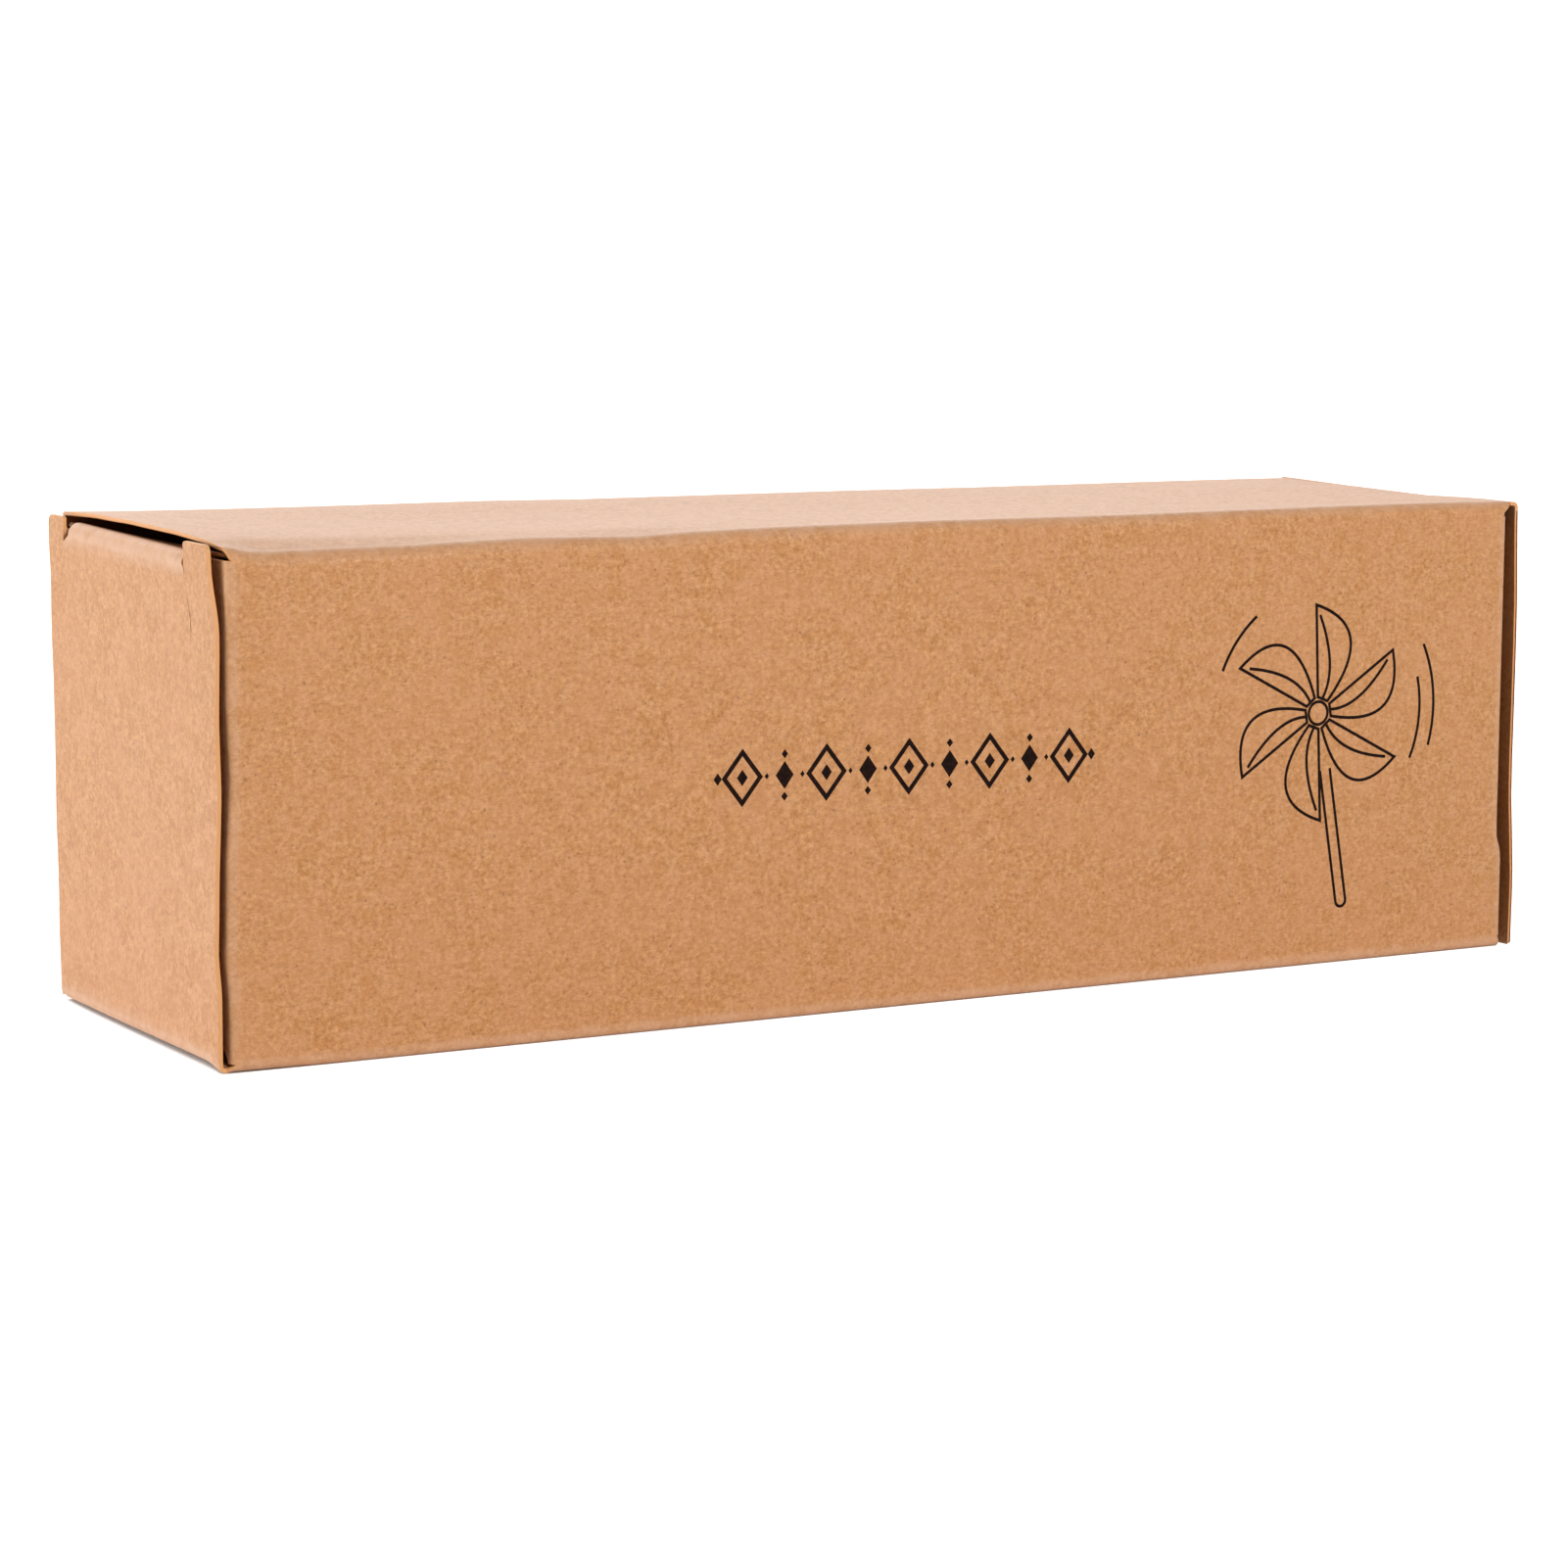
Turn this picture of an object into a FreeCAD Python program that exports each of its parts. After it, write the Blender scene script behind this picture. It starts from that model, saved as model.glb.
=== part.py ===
"""A blow ball pipe toy packed in its tuck end carton.

The carton is one die cut sheet of kraft board, folded into a sleeve of four panels with a glue flap,
and closed at each end by a panel with a slit locked tuck flap over two dust flaps. The left end panel
hangs on the bottom panel and tucks in at the top; the right one hangs on the top panel and tucks in at
the bottom. Inside lie a turned wooden pipe with its two ringed ball seat, and two light balls.

Frame: +X along the carton to the right, +Y away from the viewer to the back panel, +Z up. The origin is
the middle of the carton's underside. All lengths are in millimetres.
"""
import FreeCAD, Part
import math
import os
from FreeCAD import Vector

# The pipe
ball_diameter = 40.0
ring_diameter = 43.6
ring_thickness = 8.0
ring_edge_radius = 1.2
ring_gap = 6.4             # open space between the two rings
seat_bore = 21.0           # upper ring, at its underside
seat_mouth = 28.0          # upper ring, at its top, where the ball sits
seat_land = 3.0            # straight part of the bore under the bevel
jet_bore = 4.0             # the air jet through the lower ring
jet_dish = 12.0            # width of the shallow dish round the jet
jet_dish_depth = 1.5
peg_count = 6
peg_diameter = 4.0
peg_wall = 2.3             # from a peg to the rings' outer face
peg_socket = 2.5
cup_diameter = 21.2
cup_height = 14.0
cup_wall = 4.6
cup_floor = 3.0
cup_round = 3.0            # the cup's rounded foot
stem_diameter = 10.8
stem_bore = 5.0
stem_lift = 0.6            # the stem's underside above the cup's foot
tenon_diameter = 7.6
mouth_round = 1.4
mouth_countersink = 0.8
pipe_length = 151.0        # from the rings' far edge to the mouth
fit_gap = 0.05             # a peg in its socket or a tenon in its hole

# The room that the contents have in the carton
floor_gap = 0.2            # the cup's foot over the bottom panel
loose_gap = 0.3            # between a ball and what it rests on
head_gap = 0.5             # rings to the left dust flaps
mouth_room = 33.5          # mouth to the outside of the right end, which leaves space for its tuck flap
side_room = 3.7            # each side of the rings to the carton's walls
head_room = 7.63           # above the balls

# The carton
board = 0.5                # thickness of the kraft board
fold_radius = 0.9          # outer radius of the four long folds
crease_gap = 0.05          # between a flap's creased root and the panel that it hangs on
left_standoff = 1.2        # how far the left end panel stands off the dust flaps' crease line
right_standoff = 1.7       # the same at the right, where the tuck is pushed in less far
end_side_gap = 0.5         # each side of an end panel to the carton's outer face
ear_width = 5.8            # the slit locked corner at each end of the tuck crease
ear_outer_radius = 1.0
ear_inner_radius = 0.6
tuck_crease_drop = 0.8     # the tuck crease's axis below the carton's outer face
tuck_length = 14.0
tuck_corner_radius = 8.0
tuck_side_gap = 1.1        # tuck flap to the inside of the sleeve
tuck_taper = 1.2           # how much narrower each side is at the tip
tuck_dip_degrees = 12.0    # how far the tuck flap points into the carton
slit_width = 0.3           # beside the crease, between the tuck flap and the ears
slit_setback = 0.6         # from the crease's axis to the cut edge of a tuck flap's shoulder
shoulder_radius = 1.0
dust_middle_gap = 7.5      # between the tips of a pair of dust flaps
dust_hinge_inset = 2.0     # from the outer face on the side where the end panel hangs
dust_tuck_inset = 2.2      # from the outer face on the side where the tuck flap goes in
dust_shoulder = 4.0        # straight edge on the tuck side before the taper starts
dust_taper = 5.0
dust_corner_radius = 2.0
relief_foot = 0.6          # the corner relief between an end panel's crease and a dust flap's crease
relief_height = 1.6
glue_width = 15.0
glue_end_inset = 1.0
glue_end_slant = 5.0
overrun = 1.0              # how far a cutter runs past what it cuts

# The carton is made to fit its contents: its length and depth follow from the pipe
carton_length = left_standoff + board + head_gap + pipe_length + mouth_room
carton_depth = ring_diameter + 2 * (side_room + board)
half_length = carton_length / 2
half_depth = carton_depth / 2
half_board = board / 2

# Levels and places of the pipe
foot_level = board + floor_gap
lower_ring_level = foot_level + cup_height
upper_ring_level = lower_ring_level + ring_thickness + ring_gap
stem_level = foot_level + stem_lift + stem_diameter / 2
head_x = -half_length + left_standoff + board + head_gap + ring_diameter / 2
mouth_x = half_length - mouth_room
peg_circle = ring_diameter / 2 - peg_wall - peg_diameter / 2
chamber_radius = cup_diameter / 2 - cup_wall

# Each ball rests on the stem and against a long wall, and the carton's height follows from them
ball_radius = ball_diameter / 2
ball_side = half_depth - board - ball_radius - loose_gap
ball_level = stem_level + math.sqrt((ball_radius + stem_diameter / 2 + loose_gap) ** 2 - ball_side**2)
first_ball_x = head_x + math.sqrt((ring_diameter / 2 + ball_radius + loose_gap) ** 2 - ball_side**2)
second_ball_x = first_ball_x + math.sqrt((ball_diameter + loose_gap) ** 2 - (ball_side + ball_side) ** 2)
carton_height = ball_level + ball_radius + head_room + board

# The carton's creases
left_crease = -half_length + left_standoff
right_crease = half_length - right_standoff
left_hinge_x = -half_length + half_board
right_hinge_x = half_length - half_board
left_hinge_end = -half_length + board + crease_gap
right_hinge_end = half_length - board - crease_gap
left_panel_end = left_crease + board + crease_gap
right_panel_end = right_crease - board - crease_gap
end_half_width = half_depth - end_side_gap
ear_inside = end_half_width - ear_width
tuck_axis_height = carton_height - tuck_crease_drop
tuck_dip = math.radians(tuck_dip_degrees)
dust_length = half_depth - half_board - dust_middle_gap / 2

X_AXIS = Vector(1, 0, 0)
Y_AXIS = Vector(0, 1, 0)
Z_AXIS = Vector(0, 0, 1)


def rounded_face(corners):
    """A flat face from corners given as (x, y, radius) in order, each rounded by its own radius."""
    ends = []
    arcs = []
    count = len(corners)
    for index in range(count):
        x, y, radius = corners[index]
        here = Vector(x, y, 0)
        before = Vector(corners[index - 1][0], corners[index - 1][1], 0)
        after = Vector(corners[(index + 1) % count][0], corners[(index + 1) % count][1], 0)
        if radius == 0:
            ends.append((here, here))
            arcs.append(None)
            continue
        back = (before - here).normalize()
        on = (after - here).normalize()
        half_angle = back.getAngle(on) / 2
        reach = radius / math.tan(half_angle)
        middle_way = (back + on).normalize()
        nearest = here + middle_way * (radius / math.sin(half_angle) - radius)
        ends.append((here + back * reach, here + on * reach))
        arcs.append(nearest)
    edges = []
    for index in range(count):
        start, finish = ends[index]
        if arcs[index] is not None:
            edges.append(Part.Arc(start, arcs[index], finish).toShape())
        edges.append(Part.LineSegment(finish, ends[(index + 1) % count][0]).toShape())
    return Part.Face(Part.Wire(edges))


def frame_at(origin, across, away):
    """The placement that takes x to across, y to away and z to their cross product."""
    turn = FreeCAD.Rotation(across, away, across.cross(away), "XYZ")
    return FreeCAD.Placement(origin, turn)


def creased_flap(corners, root_ends, origin, across, away):
    """A board flap with a round creased root, laid out flat and then folded into its place.

    The outline has x across the flap and y away from the crease's axis, which is the line y = 0 in the
    middle of the board. The root is a bead as thick as the board, so the flap turns freely about it.
    """
    face = rounded_face(corners)
    face.translate(Vector(0, 0, -half_board))
    flap = face.extrude(Vector(0, 0, board))
    root_start, root_end = root_ends
    bead = Part.makeCylinder(half_board, root_end - root_start, Vector(root_start, 0, 0), X_AXIS)
    flap = flap.fuse(bead).removeSplitter()
    flap.Placement = frame_at(origin, across, away)
    return flap


def folded_strip(width, fold_at_start, fold_at_end, to_world, start_x, end_x):
    """A sleeve panel as a strip between two long edges, with half of each fold that it shares.

    The profile runs along the panel and down through the board. to_world takes a point of it, as the
    distance along and the depth below the outer face, to y and z.
    """
    lean = math.cos(math.radians(45))
    inner_radius = fold_radius - board

    def corner_points(along):
        """The outer and inner points of half a fold: on the mitre, midway round and where it ends."""
        points = []
        for radius in (fold_radius, inner_radius):
            row = []
            for angle in (45, 67.5, 90):
                turn = math.radians(angle)
                side = fold_radius - radius * math.cos(turn)
                depth = fold_radius - radius * math.sin(turn)
                row.append(along(side, depth))
            points.append(row)
        return points

    def from_start(side, depth):
        return point(side, depth)

    def from_end(side, depth):
        return point(width - side, depth)

    def point(along, depth):
        y, z = to_world(along, depth)
        return Vector(start_x, y, z)

    edges = []
    if fold_at_start:
        outer, inner = corner_points(from_start)
        edges.append(Part.Arc(outer[0], outer[1], outer[2]).toShape())
        start_outer, start_inner = outer[2], inner[2]
    else:
        start_outer, start_inner = point(0, 0), point(0, board)
    if fold_at_end:
        end_outer_row, end_inner_row = corner_points(from_end)
        end_outer, end_inner = end_outer_row[2], end_inner_row[2]
    else:
        end_outer, end_inner = point(width, 0), point(width, board)
    edges.append(Part.LineSegment(start_outer, end_outer).toShape())
    if fold_at_end:
        edges.append(Part.Arc(end_outer_row[2], end_outer_row[1], end_outer_row[0]).toShape())
        edges.append(Part.LineSegment(end_outer_row[0], end_inner_row[0]).toShape())
        edges.append(Part.Arc(end_inner_row[0], end_inner_row[1], end_inner_row[2]).toShape())
    else:
        edges.append(Part.LineSegment(end_outer, end_inner).toShape())
    edges.append(Part.LineSegment(end_inner, start_inner).toShape())
    if fold_at_start:
        edges.append(Part.Arc(inner[2], inner[1], inner[0]).toShape())
        edges.append(Part.LineSegment(inner[0], outer[0]).toShape())
    else:
        edges.append(Part.LineSegment(start_inner, start_outer).toShape())
    profile = Part.Face(Part.Wire(edges))
    return profile.extrude(Vector(end_x - start_x, 0, 0))


def crease_relief(outer_x, crease_x, hinge_z, inward):
    """The cutter that frees a dust flap's crease from a side panel, with the small diagonal relief.

    hinge_z is the level of the outer face that the end panel hangs on, and inward is 1 when the rest
    of the end lies above it and -1 when it lies below.
    """
    past_x = outer_x + math.copysign(overrun, outer_x)
    past_z = hinge_z + inward * (carton_height + overrun)
    corners = [
        Vector(past_x, -half_depth - overrun, hinge_z + inward * relief_foot),
        Vector(outer_x, -half_depth - overrun, hinge_z + inward * relief_foot),
        Vector(crease_x, -half_depth - overrun, hinge_z + inward * relief_height),
        Vector(crease_x, -half_depth - overrun, past_z),
        Vector(past_x, -half_depth - overrun, past_z),
    ]
    outline = Part.makePolygon(corners + corners[:1])
    return Part.Face(outline).extrude(Vector(0, carton_depth + overrun + overrun, 0))


def side_panel(to_world, width, fold_at_start, fold_at_end):
    """The front or back panel: a strip whose ends stop at the dust flaps' creases."""
    panel = folded_strip(width, fold_at_start, fold_at_end, to_world, left_hinge_end, right_hinge_end)
    panel = panel.cut(crease_relief(left_hinge_end, left_panel_end, 0, 1))
    return panel.cut(crease_relief(right_hinge_end, right_panel_end, carton_height, -1))


def front_panel():
    return side_panel(lambda along, depth: (-half_depth + depth, along), carton_height, True, True)


def back_panel():
    """The last panel round the sleeve: folded from the top panel, with a cut edge at the table."""
    return side_panel(
        lambda along, depth: (half_depth - depth, carton_height - along),
        carton_height - crease_gap,
        True,
        False,
    )


def top_panel():
    """Free at the left, where the tuck flap goes under it, and creased to the right end panel."""
    return folded_strip(
        carton_depth,
        True,
        True,
        lambda along, depth: (-half_depth + along, carton_height - depth),
        left_crease,
        right_hinge_end,
    )


def bottom_panel():
    """Creased to the left end panel, free at the right, and narrower by the back panel's board."""
    return folded_strip(
        carton_depth - board,
        True,
        True,
        lambda along, depth: (-half_depth + along, depth),
        left_hinge_end,
        right_crease,
    )


def glue_flap():
    """The flap folded up from the bottom panel and glued flat inside the back panel."""
    start_x = left_panel_end + glue_end_inset
    end_x = right_panel_end - glue_end_inset
    flap = folded_strip(
        glue_width, True, False, lambda along, depth: (half_depth - board - depth, along), start_x, end_x
    )
    for corner_x, way in ((start_x, 1), (end_x, -1)):
        corners = [
            Vector(corner_x, half_depth + overrun, fold_radius),
            Vector(corner_x + way * glue_end_slant, half_depth + overrun, glue_width),
            Vector(corner_x + way * glue_end_slant, half_depth + overrun, glue_width + overrun),
            Vector(corner_x - way * overrun, half_depth + overrun, glue_width + overrun),
            Vector(corner_x - way * overrun, half_depth + overrun, fold_radius),
        ]
        outline = Part.makePolygon(corners + corners[:1])
        flap = flap.cut(Part.Face(outline).extrude(Vector(0, -board - board - overrun - overrun, 0)))
    return flap


def end_panel(hinge_x, hinge_z, up):
    """An end panel with its two ears, which stand past the ends of the tuck crease."""
    ear_top = carton_height - half_board
    crease_reach = half_board * (1 + math.sin(tuck_dip)) / math.cos(tuck_dip)
    crease_end = tuck_axis_height - half_board - crease_reach - crease_gap
    corners = [
        (-end_half_width, 0, 0),
        (end_half_width, 0, 0),
        (end_half_width, ear_top, ear_outer_radius),
        (ear_inside, ear_top, ear_inner_radius),
        (ear_inside, crease_end, 0),
        (-ear_inside, crease_end, 0),
        (-ear_inside, ear_top, ear_inner_radius),
        (-end_half_width, ear_top, ear_outer_radius),
    ]
    return creased_flap(
        corners, (-end_half_width, end_half_width), Vector(hinge_x, 0, hinge_z), Y_AXIS, Z_AXIS * up
    )


def tuck_flap(crease_x, crease_z, inward, up):
    """A tuck flap: narrow between the slits, then full width, with large rounded corners at its tip."""
    root = ear_inside - slit_width
    wide = half_depth - board - tuck_side_gap
    tip = wide - tuck_taper
    corners = [
        (-root, 0, 0),
        (root, 0, 0),
        (root, slit_setback, 0),
        (wide, slit_setback, shoulder_radius),
        (tip, tuck_length, tuck_corner_radius),
        (-tip, tuck_length, tuck_corner_radius),
        (-wide, slit_setback, shoulder_radius),
        (-root, slit_setback, 0),
    ]
    away = Vector(inward * math.cos(tuck_dip), 0, -up * math.sin(tuck_dip))
    return creased_flap(corners, (-root, root), Vector(crease_x, 0, crease_z), Y_AXIS, away)


def dust_flap(crease_x, side, hinge_z, up):
    """A dust flap, cut at 45 degrees beside the end panel's crease so that the panel swings clear of it."""
    start = dust_hinge_inset
    stop = carton_height - dust_tuck_inset
    corners = [
        (start, 0, 0),
        (stop, 0, 0),
        (stop, dust_shoulder, 0),
        (stop - dust_taper, dust_length, dust_corner_radius),
        (start + dust_length, dust_length, dust_corner_radius),
    ]
    origin = Vector(crease_x, side * (half_depth - half_board), hinge_z)
    return creased_flap(corners, (start, stop), origin, Z_AXIS * up, Y_AXIS * -side)


def turned(profile, origin):
    """A solid turned about Z from a closed list of edges in the XZ plane."""
    solid = Part.Face(Part.Wire(profile)).revolve(Vector(0, 0, 0), Z_AXIS, 360)
    solid.translate(origin)
    return solid


def line_profile(points):
    """Straight edges between points given as radius and level, closed."""
    corners = [Vector(radius, 0, level) for radius, level in points]
    corners.append(corners[0])
    return [Part.LineSegment(a, b).toShape() for a, b in zip(corners, corners[1:])]


def rounded_edges(solid, radius, wanted):
    """Rounds the edges of a solid for which wanted says yes."""
    return solid.makeFillet(radius, [edge for edge in solid.Edges if wanted(edge)])


def is_circle(edge, radius):
    """Whether an edge is a round one of the given radius."""
    return isinstance(edge.Curve, Part.Circle) and abs(edge.Curve.Radius - radius) < fit_gap


def peg_places():
    """The middles of the pegs on their circle, seen from above."""
    for index in range(peg_count):
        angle = math.tau * (index + 1 / 2) / peg_count
        yield Vector(head_x + peg_circle * math.cos(angle), peg_circle * math.sin(angle), 0)


def drilled_for_pegs(ring, level):
    """A ring with the pegs' sockets, whose lower ends are at the given level."""
    for place in peg_places():
        socket = Part.makeCylinder(peg_diameter / 2 + fit_gap, peg_socket + fit_gap, place + Z_AXIS * level)
        ring = ring.cut(socket)
    return ring


def upper_ring():
    """The seat ring: a short straight bore that opens into a bevel on which the ball rests."""
    outer = ring_diameter / 2
    profile = line_profile(
        [
            (seat_bore / 2, 0),
            (outer, 0),
            (outer, ring_thickness),
            (seat_mouth / 2, ring_thickness),
            (seat_bore / 2, seat_land),
        ]
    )
    ring = turned(profile, Vector(head_x, 0, upper_ring_level))
    ring = rounded_edges(ring, ring_edge_radius, lambda edge: is_circle(edge, outer))
    return drilled_for_pegs(ring, upper_ring_level)


def lower_ring():
    """The ring over the air chamber, with the jet and the shallow dish round it."""
    outer = ring_diameter / 2
    profile = line_profile(
        [
            (jet_bore / 2, 0),
            (outer, 0),
            (outer, ring_thickness),
            (jet_dish / 2, ring_thickness),
            (jet_bore / 2, ring_thickness - jet_dish_depth),
        ]
    )
    ring = turned(profile, Vector(head_x, 0, lower_ring_level))
    ring = rounded_edges(ring, ring_edge_radius, lambda edge: is_circle(edge, outer))
    return drilled_for_pegs(ring, lower_ring_level + ring_thickness - peg_socket - fit_gap)


def ring_pegs():
    """The turned pegs that carry the upper ring, one separate solid each."""
    height = ring_gap + peg_socket + peg_socket
    level = lower_ring_level + ring_thickness - peg_socket
    pegs = [Part.makeCylinder(peg_diameter / 2, height, place + Z_AXIS * level) for place in peg_places()]
    return Part.makeCompound(pegs)


def cup():
    """The air chamber under the rings: a turned cup with a rounded foot and a socket for the stem."""
    outer = cup_diameter / 2
    profile = line_profile(
        [
            (0, 0),
            (outer, 0),
            (outer, cup_height),
            (chamber_radius, cup_height),
            (chamber_radius, cup_floor),
            (0, cup_floor),
        ]
    )
    body = turned(profile, Vector(head_x, 0, foot_level))
    foot = foot_level + fit_gap
    body = rounded_edges(body, cup_round, lambda edge: is_circle(edge, outer) and edge.Curve.Center.z < foot)
    socket = Part.makeCylinder(tenon_diameter / 2 + fit_gap, outer, Vector(head_x, 0, stem_level), X_AXIS)
    return body.cut(socket)


def stem():
    """The blow pipe: coped to the cup's side, with a tenon in its socket and a rounded mouth."""
    outer = stem_diameter / 2
    bore = stem_bore / 2
    reach = mouth_x - head_x
    profile = line_profile(
        [
            (0, 0),
            (outer, 0),
            (outer, reach),
            (0, reach),
        ]
    )
    body = turned(profile, Vector(0, 0, 0))
    body = rounded_edges(
        body, mouth_round, lambda edge: is_circle(edge, outer) and edge.Curve.Center.z > reach - fit_gap
    )
    body.rotate(Vector(0, 0, 0), Y_AXIS, 90)
    body.translate(Vector(head_x, 0, stem_level))
    cope = Part.makeCylinder(cup_diameter / 2 + fit_gap, cup_height, Vector(head_x, 0, foot_level))
    body = body.cut(cope)
    tenon_start = head_x + chamber_radius
    tenon = Part.makeCylinder(
        tenon_diameter / 2, cup_diameter / 2, Vector(tenon_start, 0, stem_level), X_AXIS
    )
    body = body.fuse(tenon)
    body = body.cut(Part.makeCylinder(bore, reach, Vector(head_x, 0, stem_level), X_AXIS))
    sink = Part.makeCone(
        bore,
        bore + mouth_countersink,
        mouth_countersink,
        Vector(mouth_x - mouth_countersink, 0, stem_level),
        X_AXIS,
    )
    return body.cut(sink).removeSplitter()


def ball(x, y):
    return Part.makeSphere(ball_radius, Vector(x, y, ball_level))


nodes = {
    "front_panel": front_panel(),
    "top_panel": top_panel(),
    "back_panel": back_panel(),
    "bottom_panel": bottom_panel(),
    "glue_flap": glue_flap(),
    "left_end_panel": end_panel(left_hinge_x, half_board, 1),
    "left_tuck_flap": tuck_flap(left_hinge_x, tuck_axis_height, 1, 1),
    "left_front_dust_flap": dust_flap(left_crease + half_board, -1, 0, 1),
    "left_back_dust_flap": dust_flap(left_crease + half_board, 1, 0, 1),
    "right_end_panel": end_panel(right_hinge_x, carton_height - half_board, -1),
    "right_tuck_flap": tuck_flap(right_hinge_x, tuck_crease_drop, -1, -1),
    "right_front_dust_flap": dust_flap(right_crease - half_board, -1, carton_height, -1),
    "right_back_dust_flap": dust_flap(right_crease - half_board, 1, carton_height, -1),
    "cup": cup(),
    "lower_ring": lower_ring(),
    "upper_ring": upper_ring(),
    "ring_pegs": ring_pegs(),
    "stem": stem(),
    "ball_1": ball(first_ball_x, ball_side),
    "ball_2": ball(second_ball_x, -ball_side),
}

os.makedirs("parts", exist_ok=True)
for name, shape in nodes.items():
    shape.exportStep(os.path.join("parts", name + ".step"))
    print(name, "solids", len(shape.Solids), "valid", shape.isValid(), "volume", round(shape.Volume, 2))

print("carton", carton_length, carton_depth, carton_height)
print("end hinges at", left_hinge_x, half_board, "and", right_hinge_x, carton_height - half_board)
print("tuck creases at", tuck_axis_height, "and", tuck_crease_drop)
print("dust creases at", left_crease + half_board, right_crease - half_board, half_depth - half_board)
print("balls at", first_ball_x, second_ball_x, ball_side, ball_level)
print("pipe: head", head_x, "foot", foot_level, "rings", lower_ring_level, upper_ring_level, "mouth", mouth_x)
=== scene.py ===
# %% [markdown]
# # A blow pipe toy in its kraft carton
# The carton is one die cut sheet of brown kraft board, folded into a sleeve and closed at both ends by a
# panel with a tuck flap. Inside lie a turned wooden pipe and two light balls. The hinges and sizes come
# from the frame. This file gives every piece its final surface and finish.

# %% Load the frame
import math
from collections import namedtuple

import bmesh
import bpy
import numpy as np
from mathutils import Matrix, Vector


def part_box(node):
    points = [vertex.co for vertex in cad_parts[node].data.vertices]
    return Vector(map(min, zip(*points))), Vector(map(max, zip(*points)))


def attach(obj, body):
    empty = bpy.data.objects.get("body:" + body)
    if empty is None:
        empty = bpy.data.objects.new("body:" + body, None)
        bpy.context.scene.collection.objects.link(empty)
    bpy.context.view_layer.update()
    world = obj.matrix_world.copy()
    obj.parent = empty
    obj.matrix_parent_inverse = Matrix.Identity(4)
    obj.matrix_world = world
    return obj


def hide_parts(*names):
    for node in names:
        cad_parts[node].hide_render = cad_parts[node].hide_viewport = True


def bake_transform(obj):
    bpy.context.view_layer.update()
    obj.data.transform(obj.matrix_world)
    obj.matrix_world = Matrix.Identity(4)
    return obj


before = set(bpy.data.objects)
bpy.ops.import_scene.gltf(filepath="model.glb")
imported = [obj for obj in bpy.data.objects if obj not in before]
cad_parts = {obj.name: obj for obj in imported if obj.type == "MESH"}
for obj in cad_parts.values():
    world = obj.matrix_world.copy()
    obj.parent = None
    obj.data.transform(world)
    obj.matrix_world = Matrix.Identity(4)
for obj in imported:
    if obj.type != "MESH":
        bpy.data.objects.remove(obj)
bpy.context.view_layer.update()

MM = 0.001

# %% [markdown]
# ## The sizes that the pieces share
# A box around a part of the frame gives its place, so the surfaces follow the frame if its sizes change.
# Only what the frame doesn't hold, such as the radius of a fold, is a value of this file.

# %% Read the carton's sizes
top_low, top_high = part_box("top_panel")
left_low, left_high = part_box("left_end_panel")
right_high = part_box("right_end_panel")[1]

BOARD = left_high.x - left_low.x
HALF = BOARD / 2
HEIGHT = top_high.z
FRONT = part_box("front_panel")[0].y
BACK = -FRONT
FOLD = 0.9 * MM
CREASE = 0.8 * MM
LEFT_HINGE = (left_low.x + HALF, HALF)
RIGHT_HINGE = (right_high.x - HALF, HEIGHT - HALF)
LEFT_CREASE = top_low.x
RIGHT_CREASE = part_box("bottom_panel")[1].x
TUCK_DROP = 0.8 * MM
TUCK_ROLL = 1.4 * MM
DIP = math.radians(12)
LEFT_TUCK = (LEFT_HINGE[0], HEIGHT - TUCK_DROP)
RIGHT_TUCK = (RIGHT_HINGE[0], TUCK_DROP)
END_HALF = left_high.y
print(f"carton {(right_high.x - left_low.x) / MM:.1f} x {(BACK - FRONT) / MM:.1f} x {HEIGHT / MM:.1f} mm")

# %% [markdown]
# ## The camera
# The view is the photograph's: a long lens from the left, a little above the carton. Its place was fitted
# to the carton's corners, and is written as a turn about the vertical, a height, a roll and a distance.

# %% Camera
TURN, RISE, ROLL = math.radians(-30.1435), math.radians(7.9889), math.radians(0.5799)
DISTANCE = 559.249 * MM
AIM_RIGHT, AIM_UP = -3.599 * MM, 24.204 * MM
SLEEVE_MIDDLE = -0.25 * MM
LENS, SENSOR = 99.262, 36
NEAREST = 10 * MM


def camera_axes(turn, rise, roll):
    """Right, up and back as rows: back points from the object to the camera, and roll turns the other two."""
    back = np.array([math.sin(turn) * math.cos(rise), -math.cos(turn) * math.cos(rise), math.sin(rise)])
    right = np.array([math.cos(turn), math.sin(turn), 0.0])
    up = np.cross(back, right)
    rolled_right = math.cos(roll) * right + math.sin(roll) * up
    rolled_up = -math.sin(roll) * right + math.cos(roll) * up
    return rolled_right, rolled_up, back


def aimed(name, data, right, up, back, place):
    """An object for this data, whose matrix has these axes and this place as columns. It looks against back."""
    thing = bpy.data.objects.new(name, data)
    bpy.context.scene.collection.objects.link(thing)
    matrix = np.eye(4)
    matrix[:3] = np.stack([right, up, back, place], axis=1)
    thing.matrix_world = matrix.T.tolist()
    return thing


def make_camera():
    right, up, back = camera_axes(TURN, RISE, ROLL)
    data = bpy.data.cameras.new("camera")
    data.lens, data.sensor_width, data.clip_start = LENS, SENSOR, NEAREST
    place = right * AIM_RIGHT + up * AIM_UP + back * DISTANCE + [SLEEVE_MIDDLE, 0, 0]
    bpy.context.scene.camera = aimed("camera", data, right, up, back, place)
    print("camera at", place.round(3).tolist())


make_camera()

# %% [markdown]
# ## Materials are built from nodes by one small function
# It adds a node, sets its settings, and puts a value, a colour code or a link into each named input. Most
# looks here are layers of colour, each as strong as some pattern, so a second function lays them in turn.
# A noise or cell pattern's scale is one over the size of its features in metres.

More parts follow.
